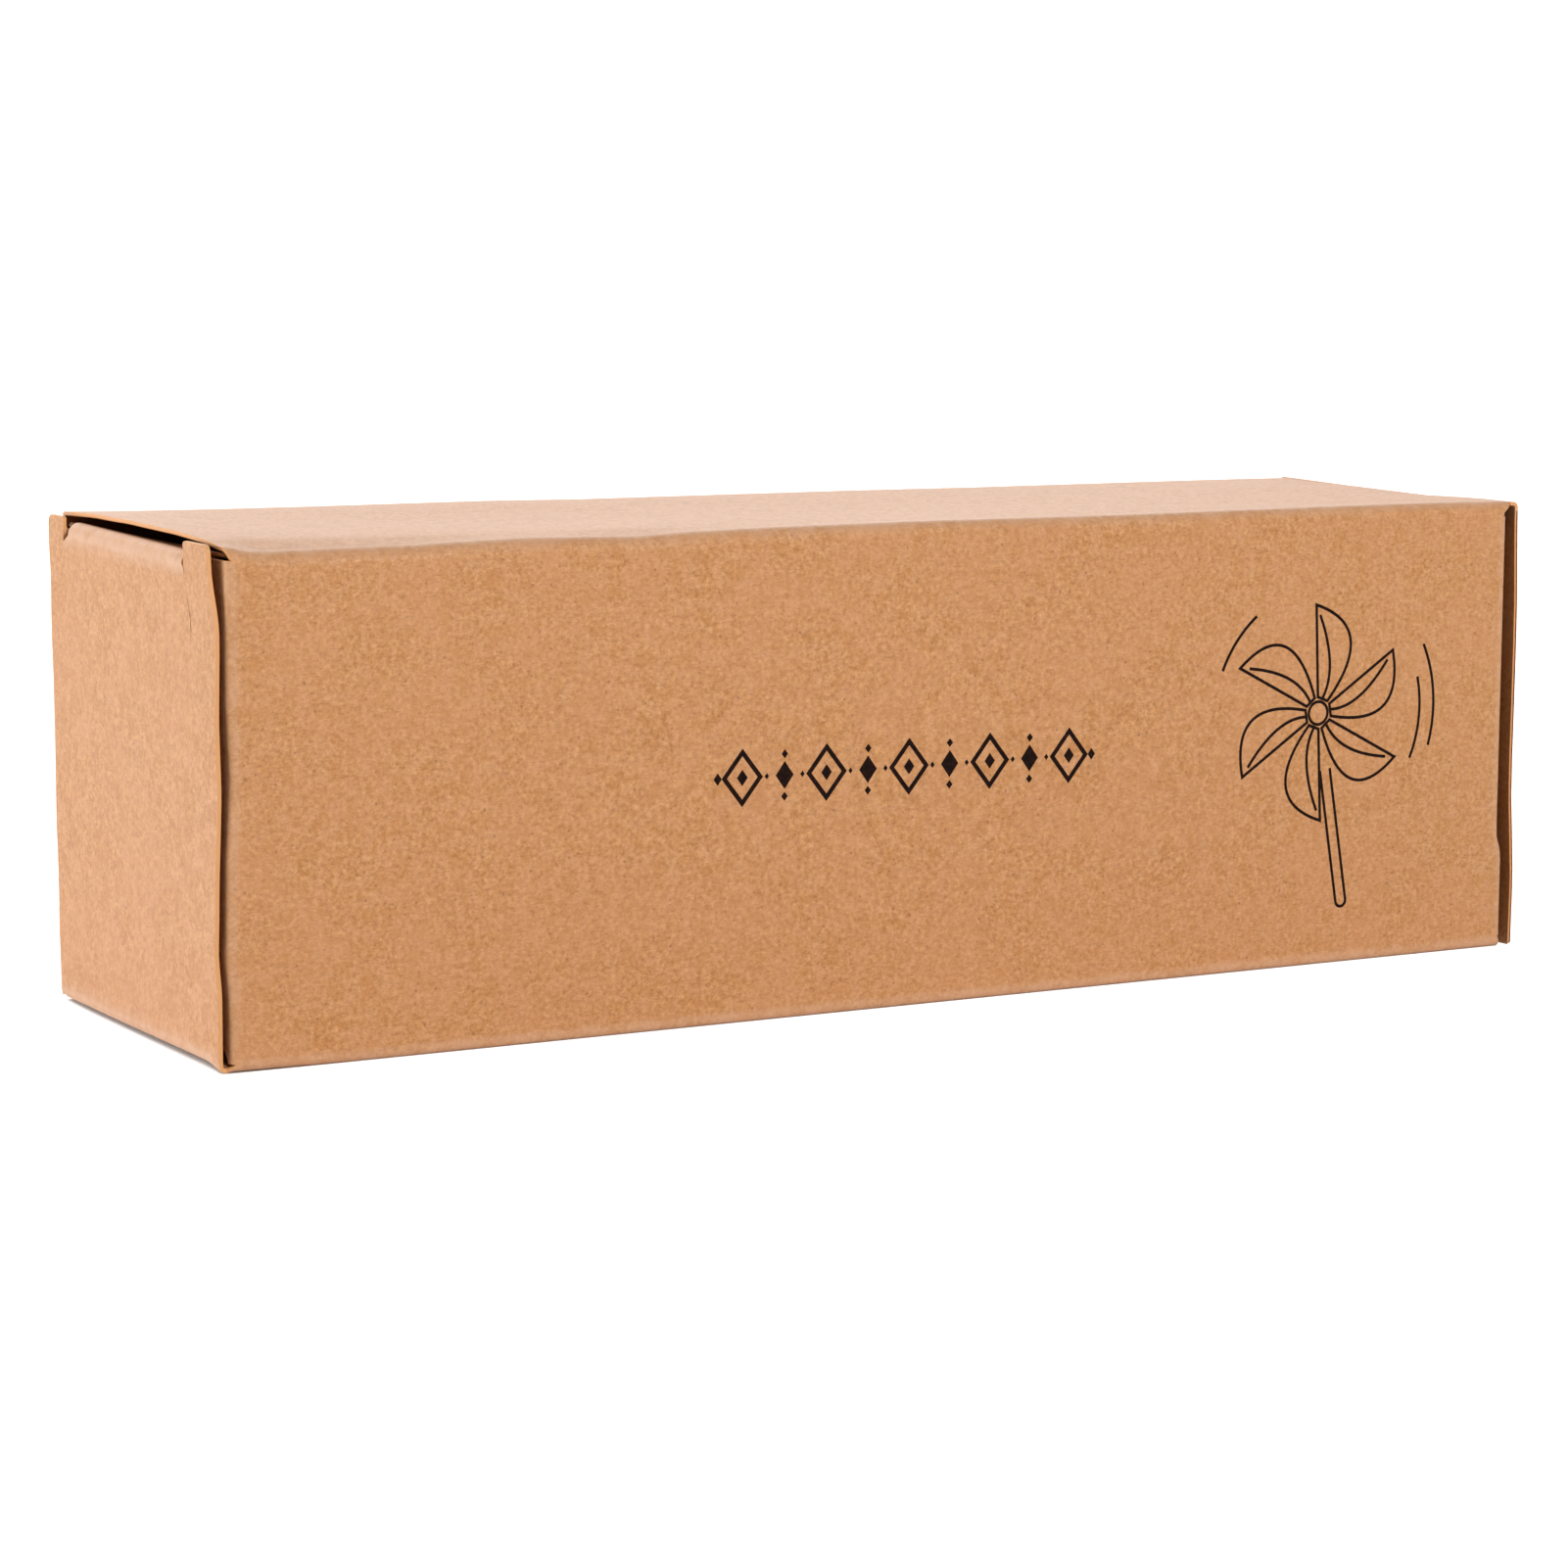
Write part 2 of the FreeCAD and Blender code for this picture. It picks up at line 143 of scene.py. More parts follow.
# %% Node helpers
def hex_colour(code):
    """An sRGB hex code as linear RGBA: c / 12.92 below 0.04045, else ((c + 0.055) / 1.055) to the 2.4."""
    parts = np.array([int(code[i:i + 2], 16) for i in (1, 3, 5)]) / 255
    linear = np.where(parts <= 0.04045, parts / 12.92, ((parts + 0.055) / 1.055) ** 2.4)
    return (*linear.tolist(), 1.0)


def add(tree, kind, inputs=None, **settings):
    """Adds a node. Settings are its own properties, and inputs are values, hex codes or sockets to link."""
    node = tree.nodes.new(kind)
    for name, value in settings.items():
        setattr(node, name, value)
    for name, value in (inputs or {}).items():
        if isinstance(value, bpy.types.NodeSocket):
            tree.links.new(value, node.inputs[name])
        else:
            node.inputs[name].default_value = hex_colour(value) if isinstance(value, str) else value
    return node


def new_material(name):
    """An empty material with its Principled shader and output, and the tree to add to."""
    material = bpy.data.materials.new(name)
    material.use_nodes = True
    tree = material.node_tree
    return material, tree, tree.nodes["Principled BSDF"]


def layered(tree, base, *layers):
    """Lays colours over base. Each is as strong as its value, taken from the range low to high into 0 to most."""
    for value, low, high, most, colour in layers:
        amount = add(tree, "ShaderNodeMapRange", {0: value, 1: low, 2: high, 4: most}).outputs[0]
        base = add(tree, "ShaderNodeMix", {0: amount, 6: base, 7: colour}, data_type="RGBA").outputs[2]
    return base


def coat(tree, shader, base, roughness, specular=0.5, height=None, strength=0.0, depth=0.0):
    """Sets the shader's colour and constants, with the IOR 1.5 of paper, wood and plastic, and its bump."""
    tree.links.new(base, shader.inputs["Base Color"])
    for name, value in (("Roughness", roughness), ("IOR", 1.5), ("Specular IOR Level", specular)):
        shader.inputs[name].default_value = value
    if height:
        bump = add(tree, "ShaderNodeBump", {"Height": height, "Strength": strength, "Distance": depth})
        tree.links.new(bump.outputs[0], shader.inputs["Normal"])


# %% [markdown]
# ## Kraft board
# Unbleached kraft is brown because its wood fibres keep their lignin. The eye sees a soft cloudy mottling,
# crossed by faint single fibres and sprinkled with dark specks of bark. Noise at three real sizes gives
# the grain and the clouds, stretched noise the fibres, and the middles of a cell pattern the specks. Real
# fibres are 0.03 mm wide, too fine to show here, so they are drawn six times as wide. A knife cut edge
# bares the loose core, which is more orange, so the edges of each mesh carry a value named cut_edge. A
# crease crushes the fibres and turns paler and pinker, so folds carry a value named crushed. The inner
# side carries a value of its own, and the material paints it darker as shade. This painted shade stands
# in for the dark in the narrow gaps at the carton's ends, where the inner face is seen.

# %% Kraft board material
GRAIN = 0.62 * MM
CLOUD = 2.0 * MM
DRIFT = 9 * MM
FIBRE_LENGTH, FIBRE_WIDTH, FIBRE_SPACING = 0.5 * MM, 0.18 * MM, 1.6
SPECK_SPACING = 1.25 * MM


def fibres(tree, place, turn):
    """Faint streaks: noise stretched to a fibre's length along a direction turned by these degrees."""
    mapping = add(tree, "ShaderNodeMapping", {
        "Vector": place, "Rotation": (math.radians(turn),) * 3, "Scale": (FIBRE_WIDTH / FIBRE_LENGTH, 1.0, 1.0)})
    return add(tree, "ShaderNodeTexNoise", {
        "Vector": mapping.outputs[0], "Scale": 1 / (FIBRE_WIDTH * FIBRE_SPACING), "Detail": 1.0}).outputs[0]


def kraft_board():
    material, tree, shader = new_material("uncoated_kraft_board")
    place = add(tree, "ShaderNodeTexCoord").outputs["Object"]
    grain, clouds, drift = (
        add(tree, "ShaderNodeTexNoise", {
            "Vector": place, "Scale": 1 / size, "Detail": detail, "Roughness": roughness}).outputs[0]
        for size, detail, roughness in ((GRAIN, 2.5, 0.7), (CLOUD, 3.0, 0.62), (DRIFT, 2.0, 0.55)))
    crushed, inner, edge = (
        add(tree, "ShaderNodeAttribute", attribute_name=name).outputs["Fac"]
        for name in ("crushed", "inner_side", "cut_edge"))
    cells = add(tree, "ShaderNodeTexVoronoi", {"Vector": place, "Scale": 1 / SPECK_SPACING}).outputs
    chance = add(tree, "ShaderNodeSeparateXYZ", {0: cells["Color"]}).outputs["X"]
    speck_depth = add(tree, "ShaderNodeMapRange", {0: chance, 1: 0.45, 2: 0.8, 4: 0.6}).outputs[0]
    crease_depth = add(tree, "ShaderNodeMapRange", {0: clouds, 1: 0.3, 2: 0.6, 3: 0.45, 4: 1.0}).outputs[0]
    base = layered(
        tree, "#a46931",
        (grain, 0.28, 0.72, 1.0, "#daa069"),
        (clouds, 0.52, 0.36, 0.45, "#b8793c"),
        (clouds, 0.48, 0.64, 0.45, "#cd956a"),
        (drift, 0.4, 0.62, 0.35, "#ca8f60"),
        (fibres(tree, place, 12), 0.58, 0.74, 0.2, "#e6b283"),
        (fibres(tree, place, -37), 0.58, 0.74, 0.3, "#94592a"),
        (fibres(tree, place, 71), 0.58, 0.74, 0.22, "#8a542a"),
        (cells["Distance"], 0.2, 0.06, speck_depth, "#7d4c28"),
        (crushed, 0.0, 1.0, crease_depth, "#d2a584"),
        # painted shade: the inner side is darkened to stand in for the shade in the narrow gaps at the ends
        (inner, 0.0, 1.0, 0.4, "#84522a"),
        (edge, 0.0, 1.0, 1.0, "#da9c62"))
    coat(tree, shader, base, roughness=0.52, height=grain, strength=0.4, depth=0.03 * MM)
    return material


KRAFT = kraft_board()
print("material", KRAFT.name)

# %% [markdown]
# ## Every flap and panel is a thickened grid
# A sheet of board is described by its middle surface, a grid of points. Its two faces lie half a board
# either side along the surface's own normal, and a rim of small steps rounds the cut edge. Solidify could
# do this too, but here the rim gets the value cut_edge that the material reads.

# %% Sheet helpers
RIM_ANGLES = np.radians([30, 60, 90])
EDGE_MARGINS = np.array([0, 0.12, 0.35, 0.8]) * MM
SHARP = math.radians(38)
ARRIS_CUT = 0.55


def smooth(value):
    """The smooth step 3 t t - 2 t t t of t held between 0 and 1."""
    t = np.clip(value, 0, 1)
    return t * t * (3 - 2 * t)


def spread(length, step):
    """Shares from 0 to 1 along a length: close together beside both ends, then about a step apart."""
    first = EDGE_MARGINS[EDGE_MARGINS < length / 4]
    inner_low, inner_high = first[-1], length - first[-1]
    count = max(2, int((inner_high - inner_low) / step) + 1)
    middle = np.linspace(inner_low, inner_high, count + 1)[1:-1]
    return np.concatenate([first, middle, (length - first)[::-1]]) / length


def ruled(first, second, shares):
    """Straight rows from each point of one line to the same point of the other: (1 - t) first + t second."""
    t = shares[None, :, None]
    return first[:, None] * (1 - t) + second[:, None] * t


def beside(distance, reach=1.3 * MM):
    """1 at a crease, falling smoothly to 0 at this reach from it."""
    return 1 - smooth(np.abs(distance) / reach)


def unit(vectors):
    return vectors / np.maximum(np.linalg.norm(vectors, axis=-1, keepdims=True), 1e-15)


def grid_normals(middle, outside):
    """The cross product of the grid's two directions, turned to the side where outside points."""
    normals = unit(np.cross(np.gradient(middle, axis=0), np.gradient(middle, axis=1)))
    way = np.sign(np.sum(normals * outside))
    return normals * way, way


def arc(centre, radius, start_degrees, count=7):
    """A quarter turn about a centre in a plane, clockwise from this direction."""
    turns = np.radians(start_degrees - np.linspace(0, 90, count))
    return np.array(centre) + radius * np.stack([np.cos(turns), np.sin(turns)], axis=1)


def edge_loop(rows, columns):
    """The grid's border once round, as indices."""
    top = np.arange(columns)
    right = np.arange(1, rows) * columns + columns - 1
    bottom = (rows - 1) * columns + np.arange(columns - 2, -1, -1)
    left = np.arange(rows - 2, 0, -1) * columns
    return np.concatenate([top, right, bottom, left])


def ring_quads(rings):
    """Quads between each closed ring of indices and the next."""
    first, second = rings[:-1], rings[1:]
    return np.stack([first, np.roll(first, -1, 1), np.roll(second, -1, 1), second], axis=-1).reshape(-1, 4)


def tube_faces(rings, closed):
    """Groups of faces round a tube, which is closed on itself or has a cap at each end."""
    if closed:
        return [ring_quads(np.vstack([rings, rings[:1]]))]
    return [ring_quads(rings), rings[:1, ::-1], rings[-1:]]


def joined(parts):
    """Several pairs of points and face groups as one pair."""
    starts = np.cumsum([0] + [len(points) for points, _ in parts[:-1]])
    faces = [group + start for start, (_, groups) in zip(starts, parts) for group in groups]
    return np.vstack([points for points, _ in parts]), faces


def mesh_object(name, points, faces, material, body=None, nodes=(), slot="kraft_board", **attributes):
    """A piece at the origin: its mesh with outward faces and values per point, body and replaced nodes. slot is
    not used.
    """
    mesh = bpy.data.meshes.new(name)
    mesh.from_pydata(points.tolist(), [], [face for group in faces for face in group.tolist()])
    mesh.validate()
    shape = bmesh.new()
    shape.from_mesh(mesh)
    if shape.calc_volume(signed=True) < 0:
        mesh.flip_normals()
    shape.free()
    for attribute, values in attributes.items():
        layer = mesh.attributes.new(attribute, "FLOAT", "POINT")
        layer.data.foreach_set("value", values.astype(np.float32))
    mesh.shade_smooth()
    mesh.set_sharp_from_angle(angle=SHARP)
    mesh.materials.append(material)
    piece = bpy.data.objects.new(name, mesh)
    bpy.context.scene.collection.objects.link(piece)
    if body:
        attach(piece, body)
    if nodes:
        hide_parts(*nodes)
    print(name, len(points), "points")
    return piece


def board_sheet(name, middle, outside, body, nodes, crushed, outer_arris=0.06 * MM, inner_arris=0.04 * MM):
    """A sheet of board round the grid middle.

    A face point is middle + normal * half a board. The border's way out is the cross product of the
    normal and the border's direction, and a rim step at angle a stands out by (sin a - 1) times the
    arris and in depth by half a board - (1 - cos a) times it.
    """
    rows, columns = middle.shape[:2]
    count = rows * columns
    normals, way = grid_normals(middle, np.asarray(outside, float))
    flat, up = middle.reshape(-1, 3), normals.reshape(-1, 3)
    loop = edge_loop(rows, columns)
    border, border_up = flat[loop], up[loop]
    tangent = unit(np.roll(border, -1, 0) - np.roll(border, 1, 0))
    out = unit(np.cross(border_up, tangent) * way)
    outer, inner = flat + up * HALF, flat - up * HALF
    outer[loop] -= out * outer_arris
    inner[loop] -= out * inner_arris
    rim = [border + out * arris * (math.sin(angle) - 1) + border_up * side * (HALF - arris * (1 - math.cos(angle)))
           for side, arris, angles in ((1, outer_arris, RIM_ANGLES), (-1, inner_arris, RIM_ANGLES[::-1]))
           for angle in angles]
    points = np.concatenate([outer, inner, *rim])
    index = np.arange(count).reshape(rows, columns)
    quads = np.stack([index[:-1, :-1], index[1:, :-1], index[1:, 1:], index[:-1, 1:]], -1).reshape(-1, 4)
    rings = np.vstack([loop, np.arange(2 * count, len(points)).reshape(len(rim), -1), loop + count])
    cut, inner_side = np.zeros(len(points)), np.zeros(len(points))
    cut[2 * count:], cut[rings[[0, -1]]] = 1, ARRIS_CUT
    # the inner face is marked for the material's painted shade
    inner_side[count:2 * count] = 1
    crush = np.broadcast_to(crushed, (rows, columns)).ravel()
    crush = np.concatenate([crush, crush, np.tile(crush[loop], len(rim))])
    return mesh_object(name, points, [quads, quads[:, ::-1] + count, ring_quads(rings)], KRAFT, body, nodes,
                       cut_edge=cut, crushed=crush, inner_side=inner_side)


# %% [markdown]
# ## How the board has moved
# No carton is as flat as its drawing. The top panel's free edge arches over the tuck flap, the left end
# panel springs out at its top, and the upright folds have small kinks where the flaps behind them press.
# Each of these is a small push written as a function of place, and every piece that meets there gets the
# same push, so that the pieces stay joined.

# %% Pushes
def levels(pairs):
    """Two arrays from pairs of millimetres, for interpolation."""
    table = np.array(pairs, float) * MM
    return table[:, 0], table[:, 1]


LEFT_FOLD_PUSH = levels([
    (0, 0.16), (5.5, 0.15), (9.5, 0.02), (13, -0.30), (15.4, -0.22), (24.4, -0.09), (29.3, 0.16),
    (33.7, 0.38), (37.2, 0.22), (42.1, 0.01), (60, -0.03)])
RIGHT_FOLD_PUSH = levels([(0, 0.45), (12, 0.36), (13.2, 0.24), (15, -0.36), (17, -0.43), (30, -0.52), (60, -0.72)])
LEFT_EDGE_PUSH = levels([
    (0, 0.03), (9, 0.01), (11.3, -0.19), (13.5, -0.38), (17.9, -0.27), (22.4, -0.2), (26.8, -0.03),
    (32.3, 0.13), (40.2, -0.11), (48.1, 0.02), (60, 0)])
LEFT_BACK_PUSH = levels([
    (0, 0.45), (4, 0.38), (8.5, 0.24), (13, 0.25), (17.5, 0.17), (22, 0.03), (31, 0), (40, -0.1),
    (45, -0.25), (50, -0.3), (54, -0.12), (60, 0)])
RIGHT_EDGE_PUSH = levels([
    (0, 0.9), (4.4, 0.93), (9.7, 0.94), (15, 0.62), (20, 0.28), (25, 0.19), (41, 0.2), (47, 0.12),
    (52, -0.08), (57.5, -0.27), (60, -0.3)])
TOP_ARCH = levels([
    (-26, 0), (-23.7, 0.05), (-21.5, 0.3), (-19.8, 0.5), (-11, 0.85), (3.7, 1.0), (14, 0.85), (20, 0.6),
    (24.3, 0.4), (26, 0.3)])
FOLD_SAG = levels([
    (-92, 0.7), (-86, 0.7), (-69, 0.58), (-60, 0.34), (-54, 0.18), (-47, 0.34), (-39, 0.5), (-31, 0.16),
    (-22, 0.02), (0, -0.1), (30, 0.05), (65, -0.08), (92, -0.05)])
BACK_RISE = levels([(-92, 0.12), (-62, 0.12), (-35, 0.17), (-22, 0), (20, 0), (40, -0.1), (92, -0.1)])
RIGHT_DIP = levels([(-26, 0.12), (-20, 0.12), (-15, 0.22), (-7, 0.48), (10, 0.3), (26, 0.05)])
ARCH_REACH = 13 * MM


def fold_push(points):
    """The push along x of a long panel's end and of the dust flap's crease, by height."""
    x, y, z = np.moveaxis(points, -1, 0)
    left = np.interp(z, *LEFT_FOLD_PUSH) * np.where(y < 0, 1, -0.5)
    right = np.interp(z, *RIGHT_FOLD_PUSH) * np.where(y < 0, 1, 0.4)
    near_left = smooth((LEFT_CREASE + 5 * MM - x) / (4 * MM))
    near_right = smooth((x - RIGHT_CREASE + 5 * MM) / (4 * MM))
    moved = points.copy()
    moved[..., 0] += left * near_left + right * near_right
    return moved


def hinge_lift(y):
    """How far the left end's lower crease stands off the floor, most behind its front corner."""
    behind = y - FRONT
    return HINGE_LIFT * (0.2 + 0.8 * smooth(behind / (5 * MM))) * (1 - 0.28 * smooth(behind / (BACK - FRONT)))


def hollow(x, z):
    """How far the long front and back panels are drawn in, most in their middle."""
    middle = np.cos(np.clip(x / RIGHT_CREASE, -1, 1) * math.pi / 2) * np.sin(np.clip(z / HEIGHT, 0, 1) * math.pi)
    return 0.22 * MM * middle ** 2


def sleeve_push(points):
    """The long panels drawn in, the top panel's arch at its free edge, and the folds' kinks."""
    moved = fold_push(points)
    x, y, z = np.moveaxis(points, -1, 0)
    on_side = np.clip((np.abs(y) - (BACK - 3 * BOARD)) / (2 * BOARD), 0, 1)
    moved[..., 1] -= np.sign(y) * hollow(x, z) * on_side
    moved[..., 2] += hinge_lift(y) * smooth((LEFT_CREASE + 16 * MM - x) / (16 * MM)) * (1 - smooth(z / (9 * MM)))
    on_top = np.clip((z - (HEIGHT - 3 * BOARD)) / (2 * BOARD), 0, 1)
    arch = np.interp(y, *TOP_ARCH) * np.exp(-np.maximum(x - LEFT_CREASE, 0) / ARCH_REACH)
    sag = -0.2 * MM * np.cos(np.clip(x / RIGHT_CREASE, -1, 1) * math.pi / 2) * np.cos(y / BACK * math.pi / 2) ** 2
    rise = np.interp(x, *BACK_RISE) * smooth((y - 6 * MM) / (14 * MM))
    dip = np.interp(y, *RIGHT_DIP) * smooth((x - RIGHT_CREASE + 14 * MM) / (14 * MM))
    moved[..., 2] += (arch + sag + rise - dip) * on_top
    near_fold = smooth((FRONT + 7 * MM - y) / (6 * MM)) * smooth((z - HEIGHT + 6 * MM) / (5 * MM))
    moved[..., 2] -= np.interp(x, *FOLD_SAG) * near_fold * smooth((x - LEFT_CREASE - 1 * MM) / (3 * MM))
    return moved


LEFT_EARS = ((-END_HALF, -18.4 * MM), (20.6 * MM, END_HALF))
RIGHT_EARS = ((-END_HALF, -19.7 * MM), (19.7 * MM, END_HALF))
LEFT_SLITS, RIGHT_SLITS = (0.4 * MM, 1.7 * MM), (0.3 * MM, 0.3 * MM)
LEAN_OUT, LEAN_FROM = 0.45 * MM, 50 * MM
CORNER_CUT = 1.2 * MM
CREST_TILT, CREST_LIFT = 0.0165, 0.08 * MM
HINGE_LIFT, EAR_LIFT = 0.75 * MM, 0.22 * MM


def left_end_push(points):
    """The left end panel: leans out over its top, its front corner drawn back, and kinks at its front edge."""
    x, y, z = np.moveaxis(points, -1, 0)
    moved = points.copy()
    near_edge, near_back = np.exp(-(y + END_HALF) / (5 * MM)), np.exp(-(END_HALF - y) / (9 * MM))
    upper = smooth((z - LEAN_FROM) / (8.5 * MM))
    bow = 0.12 * MM * np.sin(np.clip(z / HEIGHT, 0, 1) * math.pi) * np.cos(y / END_HALF * math.pi / 2)
    moved[..., 0] += np.interp(z, *LEFT_EDGE_PUSH) * near_edge + np.interp(z, *LEFT_BACK_PUSH) * near_back
    moved[..., 0] += bow - LEAN_OUT * upper
    moved[..., 1] += CORNER_CUT * upper * smooth((-10 * MM - y) / (8 * MM))
    between = smooth((y - LEFT_EARS[0][1]) / (0.3 * MM)) * smooth((LEFT_EARS[1][0] - y) / (0.3 * MM))
    top_lift = EAR_LIFT * (1 - between) + (CREST_LIFT + CREST_TILT * y) * between
    moved[..., 2] += top_lift * smooth((z - 54 * MM) / (4.5 * MM)) + hinge_lift(y) * smooth(1 - z / (50 * MM))
    return moved


def right_end_push(points):
    """The right end panel: stands off more towards its lower, tucked in edge."""
    x, y, z = np.moveaxis(points, -1, 0)
    moved = points.copy()
    near_edge = 0.55 + 0.45 * np.exp(-(y + END_HALF) / (8 * MM))
    moved[..., 0] += np.interp(z, *RIGHT_EDGE_PUSH) * near_edge
    moved[..., 2] -= np.interp(y, *RIGHT_DIP) * smooth(z / HEIGHT)
    return moved


# %% [markdown]
# ## The sleeve
# Four panels and the glue flap are one sheet in the real carton, so they are one grid here. Its section
# is a path of straight runs and quarter turns through the middle of the board, from the glue flap's edge
# under the back panel, right round to the back panel's cut edge. Each point of the path has its own left
# and right end, which draws the reliefs at the corners.

# %% Sleeve section
SIDE = BACK - HALF
FOLD_STEPS = 10
SOFT_FOLD, BACK_FOLD = 1.8 * MM, 1.2 * MM
GLUE_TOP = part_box("glue_flap")[1].z
BACK_FOOT = 0.05 * MM


def run(start, end, step=2.5 * MM, breaks=()):
    """Points along a straight run, close together beside its ends and its breaks."""
    start, end = np.array(start, float), np.array(end, float)
    length = np.linalg.norm(end - start)
    shares = spread(length, step)
    extra = [b / length for b in breaks]
    shares = np.unique(np.round(np.concatenate([shares, extra]), 7))
    return start + (end - start) * shares[:, None]


def fold(centre, start_degrees, radius):
    """The middle line of a fold whose outside has this radius, without the end points that the runs have."""
    return arc(centre, radius - HALF, start_degrees, FOLD_STEPS + 1)[1:-1]


RELIEFS = {-1: np.array([0.35, 0.9]) * MM, 1: np.array([0.6, 1.6]) * MM}
DUST_STARTS = {(-1, -1): 1.1 * MM, (-1, 1): 1.9 * MM, (1, -1): 2.0 * MM, (1, 1): 2.0 * MM}
DUST_STOP = HEIGHT - 1.5 * MM
STEP = 0.06 * MM


def change_levels(way, side):
    """Levels, from the side where the end panel hangs, at which a long panel's end changes.

    way is -1 at the left and 1 at the right end, side is -1 at the front and 1 at the back.
    """
    start = DUST_STARTS[way, side]
    return np.array([0, *RELIEFS[way], start - STEP, start, DUST_STOP, DUST_STOP + STEP, HEIGHT])


levels_of_change = np.concatenate(
    [change_levels(-1, side) for side in (-1, 1)] + [HEIGHT - change_levels(1, side) for side in (-1, 1)])
inner_back = BACK - BOARD


def upright(y, start, stop):
    """A straight run at this y between two heights, with points where the panel's ends change."""
    inside = levels_of_change[(levels_of_change > min(start, stop)) & (levels_of_change < max(start, stop))]
    return run((y, start), (y, stop), breaks=np.abs(inside - start))


section = np.concatenate([
    run((inner_back - HALF, GLUE_TOP), (inner_back - HALF, FOLD)),
    fold((inner_back - FOLD, FOLD), 0, FOLD),
    run((inner_back - FOLD, HALF), (FRONT + FOLD, HALF)),
    fold((FRONT + FOLD, FOLD), 270, FOLD),
    upright(-SIDE, FOLD, HEIGHT - SOFT_FOLD),
    fold((FRONT + SOFT_FOLD, HEIGHT - SOFT_FOLD), 180, SOFT_FOLD),
    run((FRONT + SOFT_FOLD, HEIGHT - HALF), (BACK - BACK_FOLD, HEIGHT - HALF)),
    fold((BACK - BACK_FOLD, HEIGHT - BACK_FOLD), 90, BACK_FOLD),
    upright(SIDE, HEIGHT - BACK_FOLD, BACK_FOOT),
])
print("section of", len(section), "points")

# %% Sleeve ends
CREASE_START = CREASE - HALF
GLUE_INSET, GLUE_SLANT = 1.0 * MM, 5.0 * MM
FOLD_CRUSH = 0.9 * MM


def side_end(y, z, way):
    """Where a long panel ends at a level: past the relief, at its cut end, or at the dust flap's crease.

    The level counts from the side where the end panel hangs. way is -1 at the left and 1 at the right.
    """
    outer = abs(LEFT_HINGE[0] if way < 0 else RIGHT_HINGE[0]) - CREASE_START
    crease = abs(LEFT_CREASE if way < 0 else RIGHT_CREASE)
    cut = crease - BOARD - 0.05 * MM
    at_crease = crease - CREASE
    level = z if way < 0 else HEIGHT - z
    ends = [outer, outer, cut, cut, at_crease, at_crease, cut, crease]
    front, back = (np.interp(level, change_levels(way, side), ends) for side in (-1, 1))
    return way * np.where(y < 0, front, back)


def sleeve_ends(section):
    """The left and right ends of each point of the section."""
    y, z = section.T
    left, right = side_end(y, z, -1), side_end(y, z, 1)
    on_bottom = z < HALF + 1e-6
    on_top = z > HEIGHT - HALF - 1e-6
    left = np.where(on_bottom, LEFT_HINGE[0] + CREASE_START, np.where(on_top, LEFT_CREASE, left))
    right = np.where(on_bottom, RIGHT_CREASE, np.where(on_top, RIGHT_HINGE[0] - CREASE_START, right))
    inside = (y > 0) & (y < SIDE - HALF) & (z < GLUE_TOP + STEP) & (z > HALF + 1e-6)
    slant = GLUE_INSET + GLUE_SLANT * np.clip((z - FOLD) / (GLUE_TOP - FOLD), 0, 1)
    blend = smooth(z / FOLD)
    left = np.where(inside, left * (1 - blend) + (LEFT_CREASE + BOARD + slant) * blend, left)
    right = np.where(inside, right * (1 - blend) + (RIGHT_CREASE - BOARD - slant) * blend, right)
    return left, right


def crushed_sleeve(middle):
    """Beside the three long folds seen outside, and beside the ends that carry a flap."""
    y, z = section.T
    corners = [(-SIDE, HALF), (SIDE, HALF), (1.2 * MM - SIDE, HEIGHT - HALF), (SIDE, HEIGHT - HALF)]
    gaps = [np.hypot(y - corner[0], z - corner[1]) for corner in corners]
    folds = 0.5 * beside(np.maximum(np.min(gaps, axis=0) - 0.7 * MM, 0), FOLD_CRUSH)
    x = middle[..., 0]
    left = 0.3 * beside(x - x[:, :1], FOLD_CRUSH) * (z < HEIGHT - 2 * MM)[:, None]
    right = 0.4 * beside(x[:, -1:] - x, FOLD_CRUSH) * (z > 2 * MM)[:, None]
    return np.maximum(folds[:, None], np.maximum(left, right))


def make_sleeve():
    first, second = (np.stack([end, *section.T], axis=1) for end in sleeve_ends(section))
    middle = sleeve_push(ruled(first, second, spread(RIGHT_CREASE - LEFT_CREASE, 2.2 * MM)))
    radial = middle - [0, 0, HEIGHT / 2]
    radial[..., 0] = 0
    radial[np.abs(section[:, 0]) < SIDE - STEP, :, 1] = 0
    panels = ("front_panel", "top_panel", "back_panel", "bottom_panel", "glue_flap")
    crushed = crushed_sleeve(middle)
    return board_sheet("sleeve_board", middle, radial, "root", panels, crushed, inner_arris=0.2 * MM)


make_sleeve()

# %% [markdown]
# ## Creases
# Where a flap hangs on a panel the board is creased: pressed along a line, so that it folds as a small
# round roll and opens to a shallow groove. Each crease is a strip of board round the joint's axis, and
# its outline turns smoothly from the panel's sheet to the flap's. Its two edges run on a little way inside
# the sheets that it joins, so nothing opens between them.

# %% Crease strips
LEG_PROUD, LEG_HIDDEN, LEG_END = 0.25 * MM, 0.36 * MM, 0.5 * MM
PROUD = 0.004 * MM


